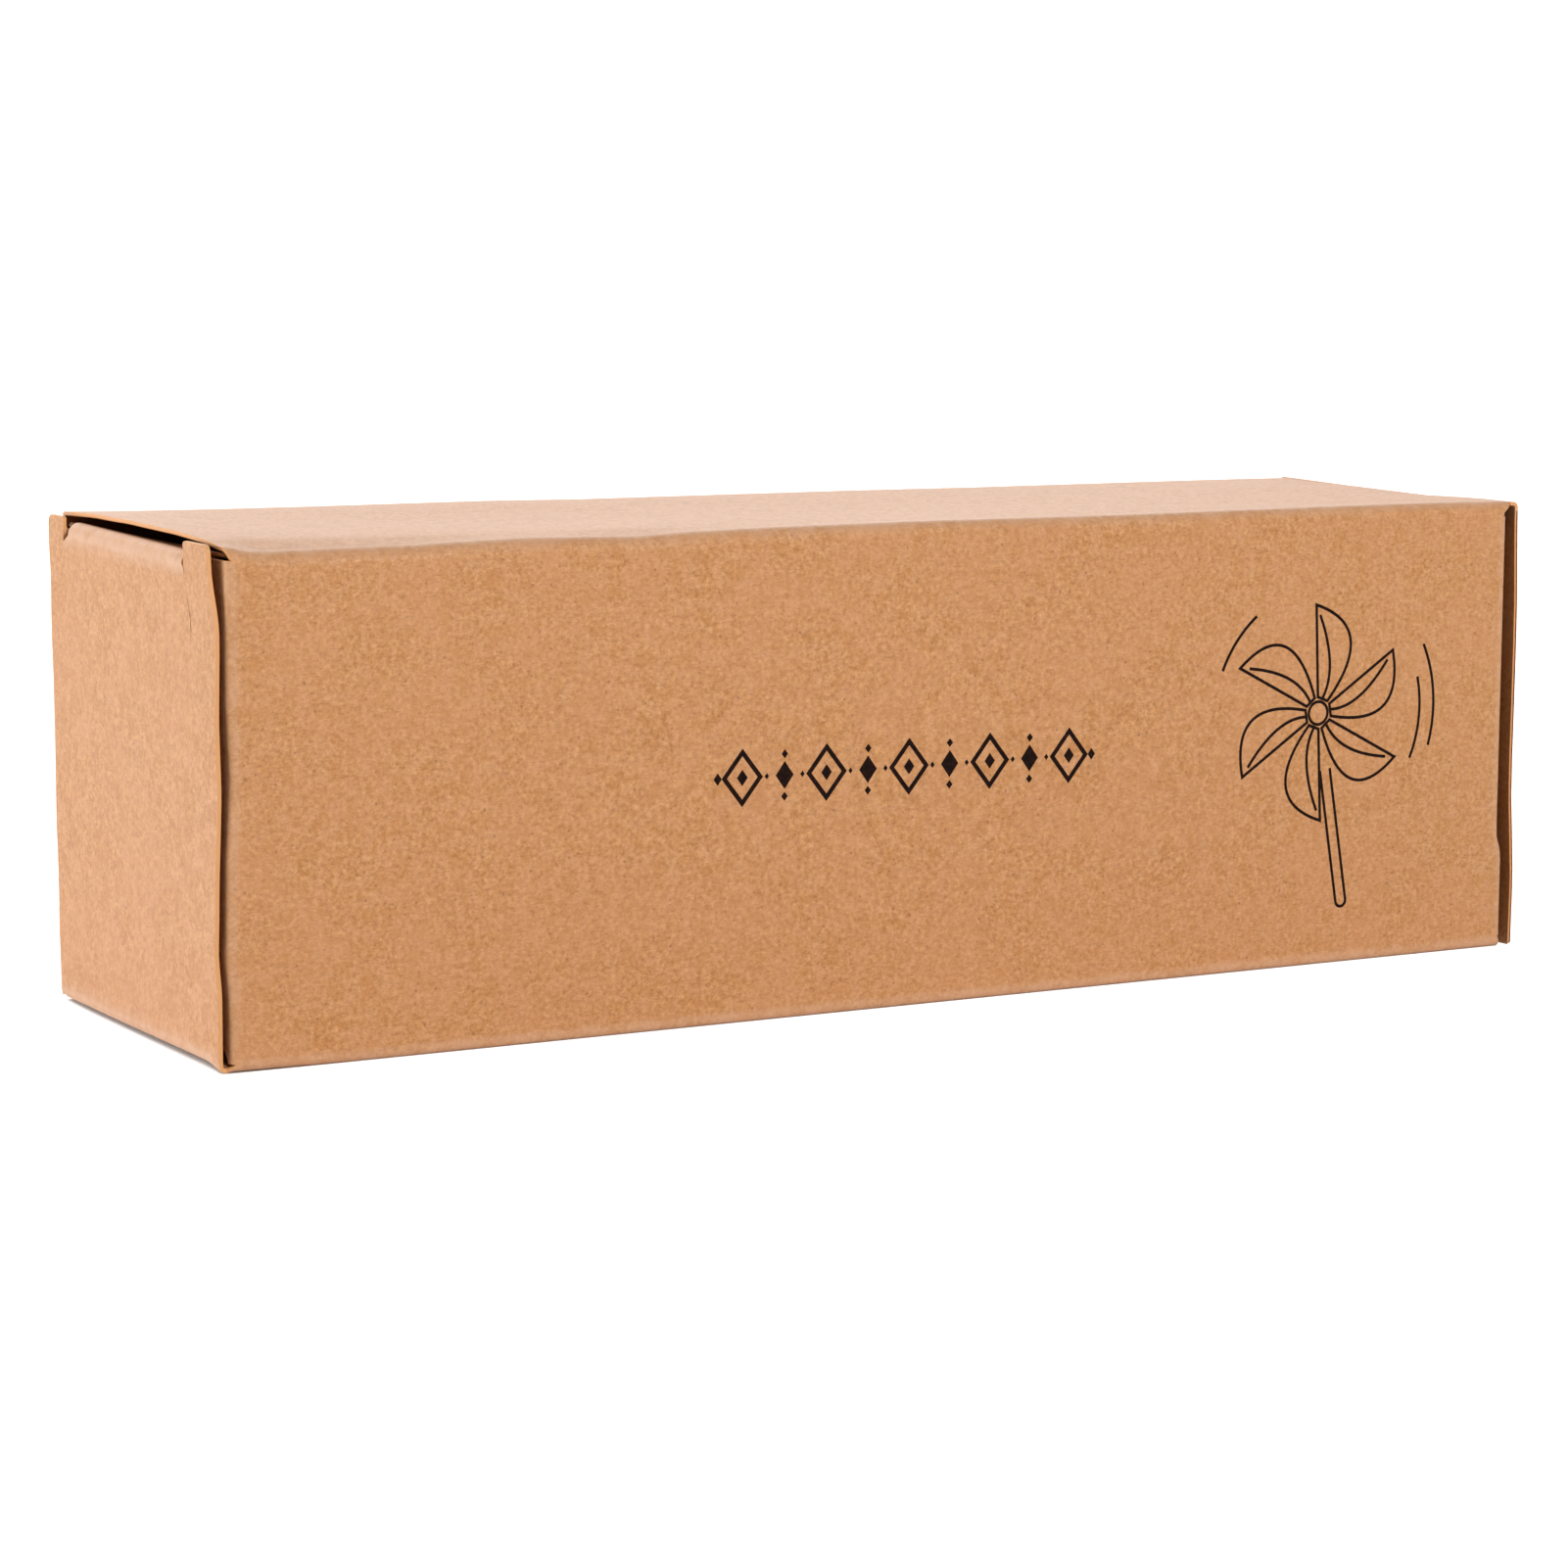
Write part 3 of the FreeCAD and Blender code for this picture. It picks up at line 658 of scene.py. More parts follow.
def crease_profile(pivot, before, after, outer_before, outer_after, roll=CREASE):
    """The closed outline of a creased board about a pivot, in the plane across the joint.

    The centre of the roll is pivot - (roll - HALF) (n1 + n2) / (1 + n1 . n2), where n1 and n2 are the
    outward normals of the two sheets. Outer and inner lines have radii roll and roll - BOARD.
    """
    before, after = np.array(before, float), np.array(after, float)
    n1, n2 = np.array(outer_before, float), np.array(outer_after, float)
    centre = np.array(pivot) - (roll - HALF) * (n1 + n2) / (1 + n1 @ n2)
    angle = math.acos(n1 @ n2)
    turns = np.linspace(0, 1, 11)[:, None]
    normals = unit((np.sin((1 - turns) * angle) * n1 + np.sin(turns * angle) * n2) / math.sin(angle))
    legs = [(LEG_END, -0.06 * MM), (LEG_HIDDEN, -0.03 * MM), (LEG_PROUD, PROUD), (0.02 * MM, PROUD)]
    sides = []
    for radius, sign in ((roll, 1), (roll - BOARD, -1)):
        back = [centre + n1 * (radius + sign * lift) - before * reach for reach, lift in legs]
        on = [centre + n2 * (radius + sign * lift) + after * reach for reach, lift in legs[::-1]]
        sides.append(np.vstack([back, centre + normals * radius, on]))
    start, end = centre + n1 * roll, centre + n2 * roll
    return np.vstack([sides[0], sides[1][::-1]]), start, end


def crease_strip(name, bodies, profile, low, high, to_space, push, crushed=1.0):
    """Carries a crease's outline straight along the joint's axis, then pushes it as its neighbours are."""
    outline, start, end = profile
    along = low + (high - low) * spread(high - low, 0.8 * MM)
    points = push(np.stack([to_space(outline, level) for level in along])).reshape(-1, 3)
    rings = np.arange(len(points)).reshape(len(along), -1)
    cut = np.zeros(len(points))
    cut[rings[[0, -1]]] = 1
    # the inner half of the outline is marked for the material's painted shade
    inner_side = np.tile(np.arange(len(outline)) >= len(outline) / 2, len(along)).astype(float)
    strip = mesh_object(name, points, tube_faces(rings, closed=False), KRAFT,
                        cut_edge=cut, crushed=np.full(len(points), crushed), inner_side=inner_side)
    middle = (low + high) / 2
    to_space(start[None], middle)[0]
    to_space(end[None], middle)[0]
    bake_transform(strip)


def across_x(outline, level):
    """A point (x, z) of the outline at a distance along y."""
    return np.stack([outline[:, 0], np.full(len(outline), level), outline[:, 1]], axis=1)


def across_z(outline, level):
    """A point (x, y) of the outline at a height."""
    return np.stack([outline[:, 0], outline[:, 1], np.full(len(outline), level)], axis=1)


# %% [markdown]
# ## The end panels
# An end panel is a rectangle whose top line steps up to an ear at each corner. The ears are left standing
# when the tuck flap folds away between them, because a short slit frees them from the crease. Columns run
# from the hinge crease to that stepped line. The left end hangs on the bottom panel and the right end on
# the top panel, so most shapes of the two are one, turned over: way is the end's direction along x, level
# the height of its hinge, and up the direction from there to its tuck flap.

# %% End panels
SLIT_DEPTH = 0.7 * MM
TUCK_CRUSH = 1.6 * MM
End = namedtuple("End", "name way up level crease hinge tuck ears slits push corner arrises")
ENDS = (
    End("left", -1, 1, 0, LEFT_CREASE, LEFT_HINGE, LEFT_TUCK, LEFT_EARS, LEFT_SLITS, left_end_push,
        corner=1.0 * MM, arrises=(0.06 * MM, 0.04 * MM)),
    End("right", 1, -1, HEIGHT, RIGHT_CREASE, RIGHT_HINGE, RIGHT_TUCK, RIGHT_EARS, RIGHT_SLITS, right_end_push,
        corner=0.25 * MM, arrises=(0.45 * MM, 0.03 * MM)),
)


def roll_tangent():
    """How far from the tuck's axis both flats stop: (roll - half a board) times the tangent of half the bend."""
    return (TUCK_ROLL - HALF) * math.tan((math.pi / 2 + DIP) / 2)


def ear_line(front_ear, back_ear, slits, corner, crease_level, top):
    """The stepped top line as points (y, height): front ear, slit, crease, slit, back ear.

    A slit is a notch from the ear's side, slit wide at the crease, down to a point SLIT_DEPTH below it.
    """
    (front_out, front_in), (back_in, back_out) = front_ear, back_ear
    foot = crease_level - SLIT_DEPTH
    first = arc((front_out + corner, top - corner), corner, 180)
    last = arc((back_out - corner, top - corner), corner, 90)
    inner = np.array([(0.6, 0), (0.3, 0.05), (0.1, 0.2), (0, 0.55)]) * MM
    front_side = np.stack([front_in - inner[:, 0], top - inner[:, 1]], axis=1)
    back_side = np.stack([back_in + inner[:, 0], top - inner[:, 1]], axis=1)[::-1]
    flats = [
        np.linspace((front_out + corner, top), (front_in - inner[0, 0], top), 8)[1:-1],
        front_side,
        [(front_in + STEP, foot), (front_in + 2 * STEP, foot), (front_in + slits[0], crease_level)],
        np.linspace((front_in + slits[0], crease_level), (back_in - slits[1], crease_level), 36)[1:-1],
        [(back_in - slits[1], crease_level), (back_in - 2 * STEP, foot), (back_in - STEP, foot)],
        back_side,
        np.linspace((back_in + inner[0, 0], top), (back_out - corner, top), 8)[1:-1],
    ]
    return np.vstack([first, *flats, last])


def end_panel(end):
    """Columns from the hinge crease to the ear line."""
    crease_level = HEIGHT - TUCK_DROP - roll_tangent()
    line = ear_line(*end.ears, end.slits, end.corner, crease_level, top=HEIGHT)
    first, second = (
        np.stack([np.full(len(line), end.hinge[0]), line[:, 0], end.level + end.up * reach], axis=1)
        for reach in (np.full(len(line), CREASE), line[:, 1]))
    flat = ruled(first, second, spread(HEIGHT - CREASE, 1.4 * MM))
    reach = end.up * (flat[..., 2] - end.level)
    inside = (flat[..., 1] > end.ears[0][1]) & (flat[..., 1] < end.ears[1][0])
    crushed = np.maximum(beside(reach - CREASE), beside(crease_level - reach, TUCK_CRUSH) * inside)
    name = end.name + "_end_panel"
    board_sheet(name + "_board", end.push(flat), (end.way, 0, 0), name, (name,), crushed, *end.arrises)


for end in ENDS:
    end_panel(end)

# %% [markdown]
# ## The tuck flaps
# A tuck flap is narrow between the slits, then steps out to the carton's inner width and ends in two
# large round corners, so that it finds its way in. Rows run across it, each as wide as the outline there.

# %% Tuck flaps
TUCK_LENGTH = 14 * MM
TUCK_WIDE, TUCK_TIP = 24.4 * MM, 23.2 * MM
TUCK_CORNER = 8 * MM


def tuck_outline(root_low, root_high, start):
    """Distances from the crease, and the outline's low and high side at each."""
    turns = np.linspace(0, math.pi / 2, 16)
    straight_end = TUCK_LENGTH - TUCK_CORNER
    shoulder = start + np.array([0, 0.15, 0.4, 0.46, 1.0]) * MM
    widths = zip(shoulder, (0, 0, 0, 0.9, 1))
    table = [(v, root_low * (1 - s) - TUCK_WIDE * s, root_high * (1 - s) + TUCK_WIDE * s) for v, s in widths]
    for v in np.linspace(shoulder[-1], straight_end, 8)[1:]:
        half = TUCK_WIDE + (TUCK_TIP - TUCK_WIDE) * (v - shoulder[-1]) / (TUCK_LENGTH - shoulder[-1])
        table.append((v, -half, half))
    side = table[-1][2]
    for turn in turns[1:]:
        half = side - TUCK_CORNER * (1 - math.cos(turn))
        table.append((straight_end + TUCK_CORNER * math.sin(turn), -half, half))
    return np.array(table)


def crease_span(end):
    """Where the tuck crease starts and stops between the two slits."""
    return end.ears[0][1] + end.slits[0], end.ears[1][0] - end.slits[1]


def tuck_flap(end):
    """Rows from the crease to the tip, dipping into the carton, slid by the end's push at the root alone."""
    start = roll_tangent()
    table = tuck_outline(*crease_span(end), start)
    away = np.array([-end.way * math.cos(DIP), 0, -end.up * math.sin(DIP)])
    base = np.array([end.tuck[0], 0, end.tuck[1]])
    first, second = (base + table[:, :1] * away + np.outer(table[:, k], [0, 1, 0]) for k in (1, 2))
    middle = ruled(first, second, spread(2 * TUCK_WIDE, 1.5 * MM))
    at_crease = np.broadcast_to(base, middle.shape).copy()
    at_crease[..., 1] = middle[..., 1]
    fade = 1 - smooth((table[:, 0] - start) / (8 * MM))[:, None, None]
    middle = middle + (end.push(at_crease) - at_crease) * fade
    name = end.name + "_tuck_flap"
    board_sheet(name + "_board", middle, (0, 0, end.up), name, (name,), beside(table[:, :1] - start))


for end in ENDS:
    tuck_flap(end)

# %% [markdown]
# ## The dust flaps
# A dust flap closes the corner behind the end panel. It is cut at 45 degrees beside the end panel's
# crease, so that the panel can swing past, and tapers on the other side, where the tuck flap slides in.

# %% Dust flaps
DUST_LENGTH = 22.0 * MM
DUST_SHOULDER, DUST_TAPER, DUST_CORNER = 5.2 * MM, 5.0 * MM, 2.0 * MM


def dust_outline(begin):
    """Distances from the crease, and the flap's start and stop along it at each distance."""
    distance = np.concatenate([
        CREASE_START + EDGE_MARGINS, np.linspace(2 * MM, DUST_SHOULDER, 5), [DUST_SHOULDER + STEP],
        np.linspace(DUST_SHOULDER + 0.4 * MM, DUST_LENGTH - DUST_CORNER, 14)])
    corner = DUST_LENGTH - DUST_CORNER * (1 - np.sin(np.linspace(0, math.pi / 2, 7)[1:]))
    distance = np.concatenate([distance, corner])
    past = np.clip((distance - DUST_SHOULDER) / (DUST_LENGTH - DUST_SHOULDER), 0, 1)
    rounding = DUST_CORNER * (1 - np.sqrt(np.clip(
        1 - (np.clip(distance - DUST_LENGTH + DUST_CORNER, 0, None) / DUST_CORNER) ** 2, 0, 1)))
    notch = np.where(distance > DUST_SHOULDER, 1.2 * MM, 0)
    low = begin + distance - CREASE_START + rounding
    high = DUST_STOP - notch - DUST_TAPER * past - rounding
    return distance, low, high


def dust_flap(end, word, side):
    """Rows from the crease inwards."""
    begin = DUST_STARTS[end.way, side]
    distance, low, high = dust_outline(begin)
    x = np.full(len(distance), end.crease - end.way * HALF)
    y = side * (SIDE - distance)
    first, second = (np.stack([x, y, end.level + end.up * reach], axis=1) for reach in (low, high))
    middle = ruled(first, second, spread(DUST_STOP - begin, 1.2 * MM))
    fade = np.exp(-(distance - CREASE_START) / (6 * MM))[:, None, None]
    middle = middle + (fold_push(middle) - middle) * fade
    name = f"{end.name}_{word}_dust_flap"
    board_sheet(name + "_board", middle, (end.way, 0, 0), name, (name,), beside(distance - CREASE_START)[:, None])


SIDES = (("front", -1), ("back", 1))
for end in ENDS:
    for word, side in SIDES:
        dust_flap(end, word, side)

# %% [markdown]
# ## The eight creases
# Each strip is given by its pivot, the directions of the two sheets and their outer sides. Dust flaps
# turn about upright axes, end panels and tuck flaps about axes across the carton.

# %% Make the creases
DUST_CRUSH = 0.35
SIN_DIP, COS_DIP = math.sin(DIP), math.cos(DIP)
for end in ENDS:
    outward = (end.way, 0)
    for word, side in SIDES:
        pivot = (end.crease - end.way * HALF, side * SIDE)
        profile = crease_profile(pivot, outward, (0, -side), (0, side), outward)
        low, high = sorted(end.level + end.up * reach for reach in (DUST_STARTS[end.way, side], DUST_STOP))
        name = f"{end.name}_{word}_dust"
        crease_strip(name + "_crease", ("root", name + "_flap"), profile,
                     low, high, across_z, fold_push, DUST_CRUSH)
for end in ENDS:
    way, up, panel = end.way, end.up, end.name + "_end_panel"
    profile = crease_profile(end.hinge, (way, 0), (0, up), (0, -up), (way, 0))
    crease_strip(end.name + "_hinge_crease", ("root", panel), profile, -END_HALF, END_HALF, across_x, end.push)
    profile = crease_profile(end.tuck, (0, up), (-way * COS_DIP, -up * SIN_DIP), (way, 0),
                             (-way * SIN_DIP, up * COS_DIP), TUCK_ROLL)
    crease_strip(end.name + "_tuck_crease", (panel, end.name + "_tuck_flap"), profile,
                 *crease_span(end), across_x, end.push)
print("creases made")

# %% [markdown]
# ## The print
# One colour is printed on the front panel in a dark brown ink: an ornamental rule, and a line drawing of
# a pinwheel. Flexographic ink lies on the fibres as a thin film, so each stroke is a thin closed ribbon
# that stands 0.02 mm proud of the board and follows the panel's bow. A texture could carry the print too,
# but ribbons keep their edge at any distance. A lozenge is a ribbon whose width grows and shrinks.

# %% Ink material
INK_PROUD, INK_DEEP = 0.02 * MM, 0.03 * MM


def printing_ink():
    material, tree, shader = new_material("flexographic_ink")
    film = add(tree, "ShaderNodeTexNoise", {
        "Vector": add(tree, "ShaderNodeTexCoord").outputs["Object"],
        "Scale": 1 / GRAIN, "Detail": 2.0, "Roughness": 0.7}).outputs[0]
    coat(tree, shader, layered(tree, "#0c0301", (film, 0.4, 0.72, 1.0, "#26110a")), roughness=0.6, specular=0.06)
    return material


INK = printing_ink()
print("material", INK.name)

# %% Strokes
def mitres(path, closed):
    """The sideways direction at each point: (n1 + n2) / (1 + n1 . n2) of the two runs' normals."""
    steps = np.roll(path, -1, 0) - path if closed else np.diff(path, axis=0)
    runs = unit(steps)
    normals = np.stack([-runs[:, 1], runs[:, 0]], axis=1)
    before = np.roll(normals, 1, 0) if closed else np.vstack([normals[:1], normals])
    after = normals if closed else np.vstack([normals, normals[-1:]])
    return (before + after) / (1 + np.sum(before * after, axis=1))[:, None]


def stroke(path, width, closed=False):
    """One ribbon as points on the front panel and faces: four lines along the path, joined round."""
    path = np.asarray(path, float)
    offset = mitres(path, closed) * np.reshape(np.broadcast_to(width, len(path)), (-1, 1)) / 2
    flat = np.stack([path + offset, path - offset, path - offset, path + offset], axis=1) * MM
    points = np.stack([flat[..., 0], np.full(flat.shape[:2], FRONT + HALF), flat[..., 1]], axis=-1)
    points = sleeve_push(points)
    points[:, :2, 1] -= HALF + INK_PROUD
    points[:, 2:, 1] -= HALF - INK_DEEP
    return points.reshape(-1, 3), tube_faces(np.arange(4 * len(path)).reshape(-1, 4), closed)


def lozenge(x, z, half_width, half_height, width=None):
    """A filled lozenge as a swelling stroke, or an outlined one where a width is given."""
    if width is None:
        return stroke([(x - half_width, z), (x, z), (x + half_width, z)], [0.02, 2 * half_height, 0.02])
    corners = np.array([(x - half_width, z), (x, z - half_height), (x + half_width, z), (x, z + half_height)])
    return stroke(corners, width, closed=True)


# %% Ornamental rule
RULE_MIDDLE, RULE_LEVEL, RULE_STEP = -1.9, 30.0, 5.9


def ornamental_rule():
    """Nine motifs a step apart: outlined lozenges with a core, and between them filled ones with two drops."""
    strokes = []
    for place in range(-4, 5):
        x = RULE_MIDDLE + place * RULE_STEP
        if place % 2:
            strokes.append(lozenge(x, RULE_LEVEL, 1.25, 1.7))
            strokes += [lozenge(x, RULE_LEVEL + rise, 0.45, 0.55) for rise in (-2.6, 2.6)]
        else:
            strokes += [lozenge(x, RULE_LEVEL, 2.5, 3.1, 0.58), lozenge(x, RULE_LEVEL, 0.75, 1.0)]
        if place < 4:
            strokes.append(lozenge(x + RULE_STEP / 2 + (0.45 if place % 2 == 0 else -0.45), RULE_LEVEL, 0.3, 0.4))
    for way in (-1, 1):
        strokes.append(lozenge(RULE_MIDDLE + way * (4 * RULE_STEP + 3.4), RULE_LEVEL, 0.55, 0.75))
    mesh_object("printed_rule", *joined(strokes), INK, "root")


ornamental_rule()

# %% Pinwheel drawing
HUB = np.array([60.5, 33.3])
BLADE, BLADES, BLADE_SPREAD = 14.2, 6, 46
LINE = 0.4


def polar(radius, degrees):
    """A point at this distance and direction from the hub."""
    turn = np.radians(degrees)
    return HUB + np.stack([radius * np.cos(turn), radius * np.sin(turn)], axis=-1)


def bend(start, control, stop, count=24):
    """A quadratic curve: (1 - t)(1 - t) start + 2 t (1 - t) control + t t stop."""
    t = np.linspace(0, 1, count)[:, None]
    return (1 - t) ** 2 * start + 2 * t * (1 - t) * control + t ** 2 * stop


def pinwheel():
    """Blades with a straight front edge and a bent back edge, a hub, a stick and three lines of wind."""
    strokes = [stroke(polar(1.5, np.linspace(0, 360, 33)[:-1]), LINE, closed=True)]
    for turn in 33 + np.arange(BLADES) * 360 / BLADES:
        tip, root = polar(BLADE, turn), polar(2.1, turn - BLADE_SPREAD)
        outline = np.vstack([[polar(2.1, turn)], bend(tip, polar(BLADE * 1.02, turn - 44), root)])
        strokes.append(stroke(outline, LINE, closed=True))
        strokes.append(stroke(bend(polar(2.1, turn - 22), polar(BLADE * 0.5, turn - 30), tip)[:-2], LINE))
    along, across = np.array([math.cos(math.radians(-80)), math.sin(math.radians(-80))]), 0.8
    side = np.array([-along[1], along[0]]) * across
    ends = np.linspace(0, math.pi, 9)
    tip = HUB + 25.4 * along + np.outer(np.cos(ends), side) + np.outer(np.sin(ends), along) * across
    strokes.append(stroke(np.vstack([[HUB + 7.6 * along + side], tip, [HUB + 7.6 * along - side]]), LINE))
    for radius, low, high in ((16.6, -24, 14), (18.9, -16, 26), (16.6, 128, 158)):
        strokes.append(stroke(polar(radius, np.linspace(low, high, 18)), LINE))
    mesh_object("printed_pinwheel", *joined(strokes), INK, "root")


pinwheel()

# %% [markdown]
# ## The pipe
# The pipe's parts are turned on a lathe from beech: a stem, a cup, two rings and six pegs. A turned piece
# is a profile carried round an axis. A modifier called Screw does this too, but a profile in numpy keeps
# the rounded edges exact. Rings and stem have a closed profile, and the cup's profile starts and ends on
# the axis, where its points meet in one pole.

# %% Beech material
PORE_LENGTH, PORE_WIDTH = 2.2 * MM, 0.26 * MM
GROWTH = 3.6 * MM


def turned_beech(name, along):
    """Beech is pale pink brown, with short dark rays along the grain and faint growth bands across it."""
    material, tree, shader = new_material(name)
    squeeze = [1.0, 1.0, 1.0]
    squeeze[along] = PORE_WIDTH / PORE_LENGTH
    place = add(tree, "ShaderNodeMapping", {
        "Vector": add(tree, "ShaderNodeTexCoord").outputs["Object"], "Scale": tuple(squeeze)}).outputs[0]
    band = add(tree, "ShaderNodeTexNoise", {
        "Vector": place, "Scale": 1 / GROWTH, "Detail": 4.0, "Roughness": 0.6}).outputs[0]
    fine = add(tree, "ShaderNodeTexNoise", {
        "Vector": place, "Scale": 1 / PORE_WIDTH, "Detail": 2.0}).outputs[0]
    rays = add(tree, "ShaderNodeTexVoronoi", {"Vector": place, "Scale": 1 / (PORE_WIDTH * 3)}).outputs["Distance"]
    base = layered(
        tree, "#d9ab7c",
        (band, 0.35, 0.65, 1.0, "#e8c497"),
        (fine, 0.45, 0.75, 0.4, "#c9955f"),
        (rays, 0.24, 0.1, 0.55, "#a36c3d"))
    coat(tree, shader, base, roughness=0.42, height=fine, strength=0.3, depth=0.03 * MM)
    return material


BEECH_LONG = turned_beech("turned_beech_long_grain", 0)
BEECH_UPRIGHT = turned_beech("turned_beech_upright_grain", 2)
print("materials", BEECH_LONG.name, BEECH_UPRIGHT.name)

# %% Lathe
TURNS = 96


def turned_mesh(profile, base, along_x=False, turns=TURNS):
    """Points (r cos t, r sin t, h) for each profile point (r, h) and turn t, moved to the base, and their faces.

    A profile is closed, or starts and ends on the axis, where its points become poles.
    """
    profile = np.asarray(profile)
    closed = profile[0, 0] > 0
    r, h = (profile if closed else profile[1:-1]).T
    t = np.linspace(0, 2 * math.pi, turns, endpoint=False)
    grid = np.stack([np.outer(r, np.cos(t)), np.outer(r, np.sin(t)), np.repeat(h[:, None], turns, 1)], axis=-1)
    points = (grid[..., [2, 0, 1]] if along_x else grid).reshape(-1, 3) + base
    rings = np.arange(len(points)).reshape(-1, turns)
    if closed:
        return points, tube_faces(rings, closed=True)
    poles = np.array(base) + np.stack([np.zeros(2), np.zeros(2), profile[[0, -1], 1]], axis=1)
    low, high = rings[0], rings[-1]
    faces = [
        ring_quads(rings),
        np.stack([low, np.full(turns, len(points)), np.roll(low, -1)], axis=1),
        np.stack([np.roll(high, -1), np.full(turns, len(points) + 1), high], axis=1)]
    return np.vstack([points, poles]), faces


def turned_piece(name, material, node, *turned):
    """A turned mesh as a piece of the pipe, which takes the place of this node."""
    mesh_object(name, *turned, material, "pipe", (node,), "turned_beech")


# %% Rings
EDGE, ARRIS = 1.2 * MM, 0.25 * MM
lower_low, lower_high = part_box("lower_ring")
upper_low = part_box("upper_ring")[0]
HEAD_X = (lower_low.x + lower_high.x) / 2
RING, THICK = (lower_high.x - lower_low.x) / 2, lower_high.z - lower_low.z
JET, DISH, DISH_DEPTH = 2.0 * MM, 6.0 * MM, 1.5 * MM
SEAT_BORE, SEAT_MOUTH, SEAT_LAND = 10.5 * MM, 14.0 * MM, 3.0 * MM


def outer_edge():
    """The ring's rounded outer side, from its underside to its top."""
    low = arc((RING - EDGE, EDGE), EDGE, 0)[::-1]
    high = arc((RING - EDGE, THICK - EDGE), EDGE, 90)[::-1]
    return np.vstack([low, high])


def upper_ring_profile():
    rim = arc((SEAT_MOUTH + ARRIS, THICK - ARRIS), ARRIS, 180, 4)[::-1]
    return np.vstack([[(SEAT_BORE + ARRIS, 0)], outer_edge(), rim,
                      [(SEAT_BORE + ARRIS / 2, SEAT_LAND + ARRIS), (SEAT_BORE, SEAT_LAND), (SEAT_BORE, ARRIS)]])


def lower_ring_profile():
    return np.vstack([[(JET + ARRIS, 0)], outer_edge(),
                      [(DISH + ARRIS, THICK), (DISH, THICK - ARRIS / 2), (JET + ARRIS, THICK - DISH_DEPTH),
                       (JET, THICK - DISH_DEPTH - ARRIS), (JET, ARRIS)]])


lower_ring = turned_mesh(lower_ring_profile(), (HEAD_X, 0, lower_low.z))
upper_ring = turned_mesh(upper_ring_profile(), (HEAD_X, 0, upper_low.z))
turned_piece("lower_ring_turned", BEECH_LONG, "lower_ring", *lower_ring)
turned_piece("upper_ring_turned", BEECH_LONG, "upper_ring", *upper_ring)

# %% Pegs, cup and stem
PEG, PEG_CIRCLE, PEG_COUNT = 2.0 * MM, 17.5 * MM, 6
peg_low, peg_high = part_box("ring_pegs")
cup_low, cup_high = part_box("cup")
stem_low, stem_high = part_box("stem")


def make_pegs():
    """Six pegs as one piece, each with chamfered ends that stand in the rings."""
    length = peg_high.z - peg_low.z
    profile = np.array([(0, 0), (PEG - ARRIS, 0), (PEG, ARRIS), (PEG, length - ARRIS), (PEG - ARRIS, length),
                        (0, length)])
    places = math.tau * (np.arange(PEG_COUNT) + 0.5) / PEG_COUNT
    bases = np.stack([HEAD_X + PEG_CIRCLE * np.cos(places), PEG_CIRCLE * np.sin(places),
                      np.full(PEG_COUNT, peg_low.z)], axis=1)
    pegs = [turned_mesh(profile, base, turns=32) for base in bases]
    turned_piece("ring_pegs_turned", BEECH_UPRIGHT, "ring_pegs", *joined(pegs))


def make_cup():
    """From the pole under the foot up the rounded side, over the wall and down into the air chamber."""
    outer, tall, foot, wall, floor = 10.6 * MM, cup_high.z - cup_low.z, 3.0 * MM, 4.6 * MM, 3.0 * MM
    inner = outer - wall
    profile = np.vstack([
        [(0, 0)], arc((outer - foot, foot), foot, 0, 10)[::-1],
        [(outer, tall - ARRIS), (outer - ARRIS, tall), (inner + ARRIS, tall), (inner, tall - ARRIS),
         (inner, floor + ARRIS), (inner - ARRIS, floor), (0, floor)]])
    turned_piece("cup_turned", BEECH_UPRIGHT, "cup", *turned_mesh(profile, (HEAD_X, 0, cup_low.z)))


def make_stem():
    """The tenon, the shoulder inside the cup's wall, the straight pipe and the rounded, countersunk mouth."""
    radius, bore, tenon = (stem_high.z - stem_low.z) / 2, 2.5 * MM, 3.8 * MM
    start, shoulder, mouth, sink, lip = stem_low.x, HEAD_X + 8.6 * MM, stem_high.x, 0.8 * MM, 1.4 * MM
    profile = np.vstack([
        [(bore, start), (tenon, start), (tenon, shoulder), (radius, shoulder)],
        np.stack([np.full(24, radius), np.linspace(HEAD_X + 12 * MM, mouth - lip - MM, 24)], axis=1),
        arc((radius - lip, mouth - lip), lip, 90)[::-1],
        [(bore + sink, mouth), (bore, mouth - sink)]])
    middle = (stem_high.z + stem_low.z) / 2
    turned_piece("stem_turned", BEECH_LONG, "stem", *turned_mesh(profile, (0, 0, middle), along_x=True))


make_pegs()
make_cup()
make_stem()

# %% [markdown]
# ## The balls
# Light balls for blowing are moulded from expanded polystyrene beads, which swell against each other
# until they fill the mould. The skin shows as many-sided cells with fine seams between them. Bead middles
# are spread over the sphere, each point finds its two nearest ones, and the seams are where both are equally
# near. The ball is six square grids drawn out to a sphere, so no point is crowded at a pole.

# %% Foam material
SKIN = 0.3 * MM


def moulded_foam():
    """Nearly white and matt; the values seam and tone of the mesh shade the joints and single beads."""
    material, tree, shader = new_material("moulded_polystyrene_foam")
    seam, tone = (
        add(tree, "ShaderNodeAttribute", attribute_name=name).outputs["Fac"] for name in ("seam", "tone"))
    skin = add(tree, "ShaderNodeTexNoise", {
        "Vector": add(tree, "ShaderNodeTexCoord").outputs["Object"], "Scale": 1 / SKIN, "Detail": 2.0}).outputs[0]
    base = layered(tree, "#eae7df", (tone, 0.0, 1.0, 1.0, "#f2f0ea"), (seam, 0.2, 1.0, 0.6, "#cec9bd"))
    coat(tree, shader, base, roughness=0.6, height=skin, strength=0.25, depth=0.02 * MM)
    return material


FOAM = moulded_foam()
print("material", FOAM.name)

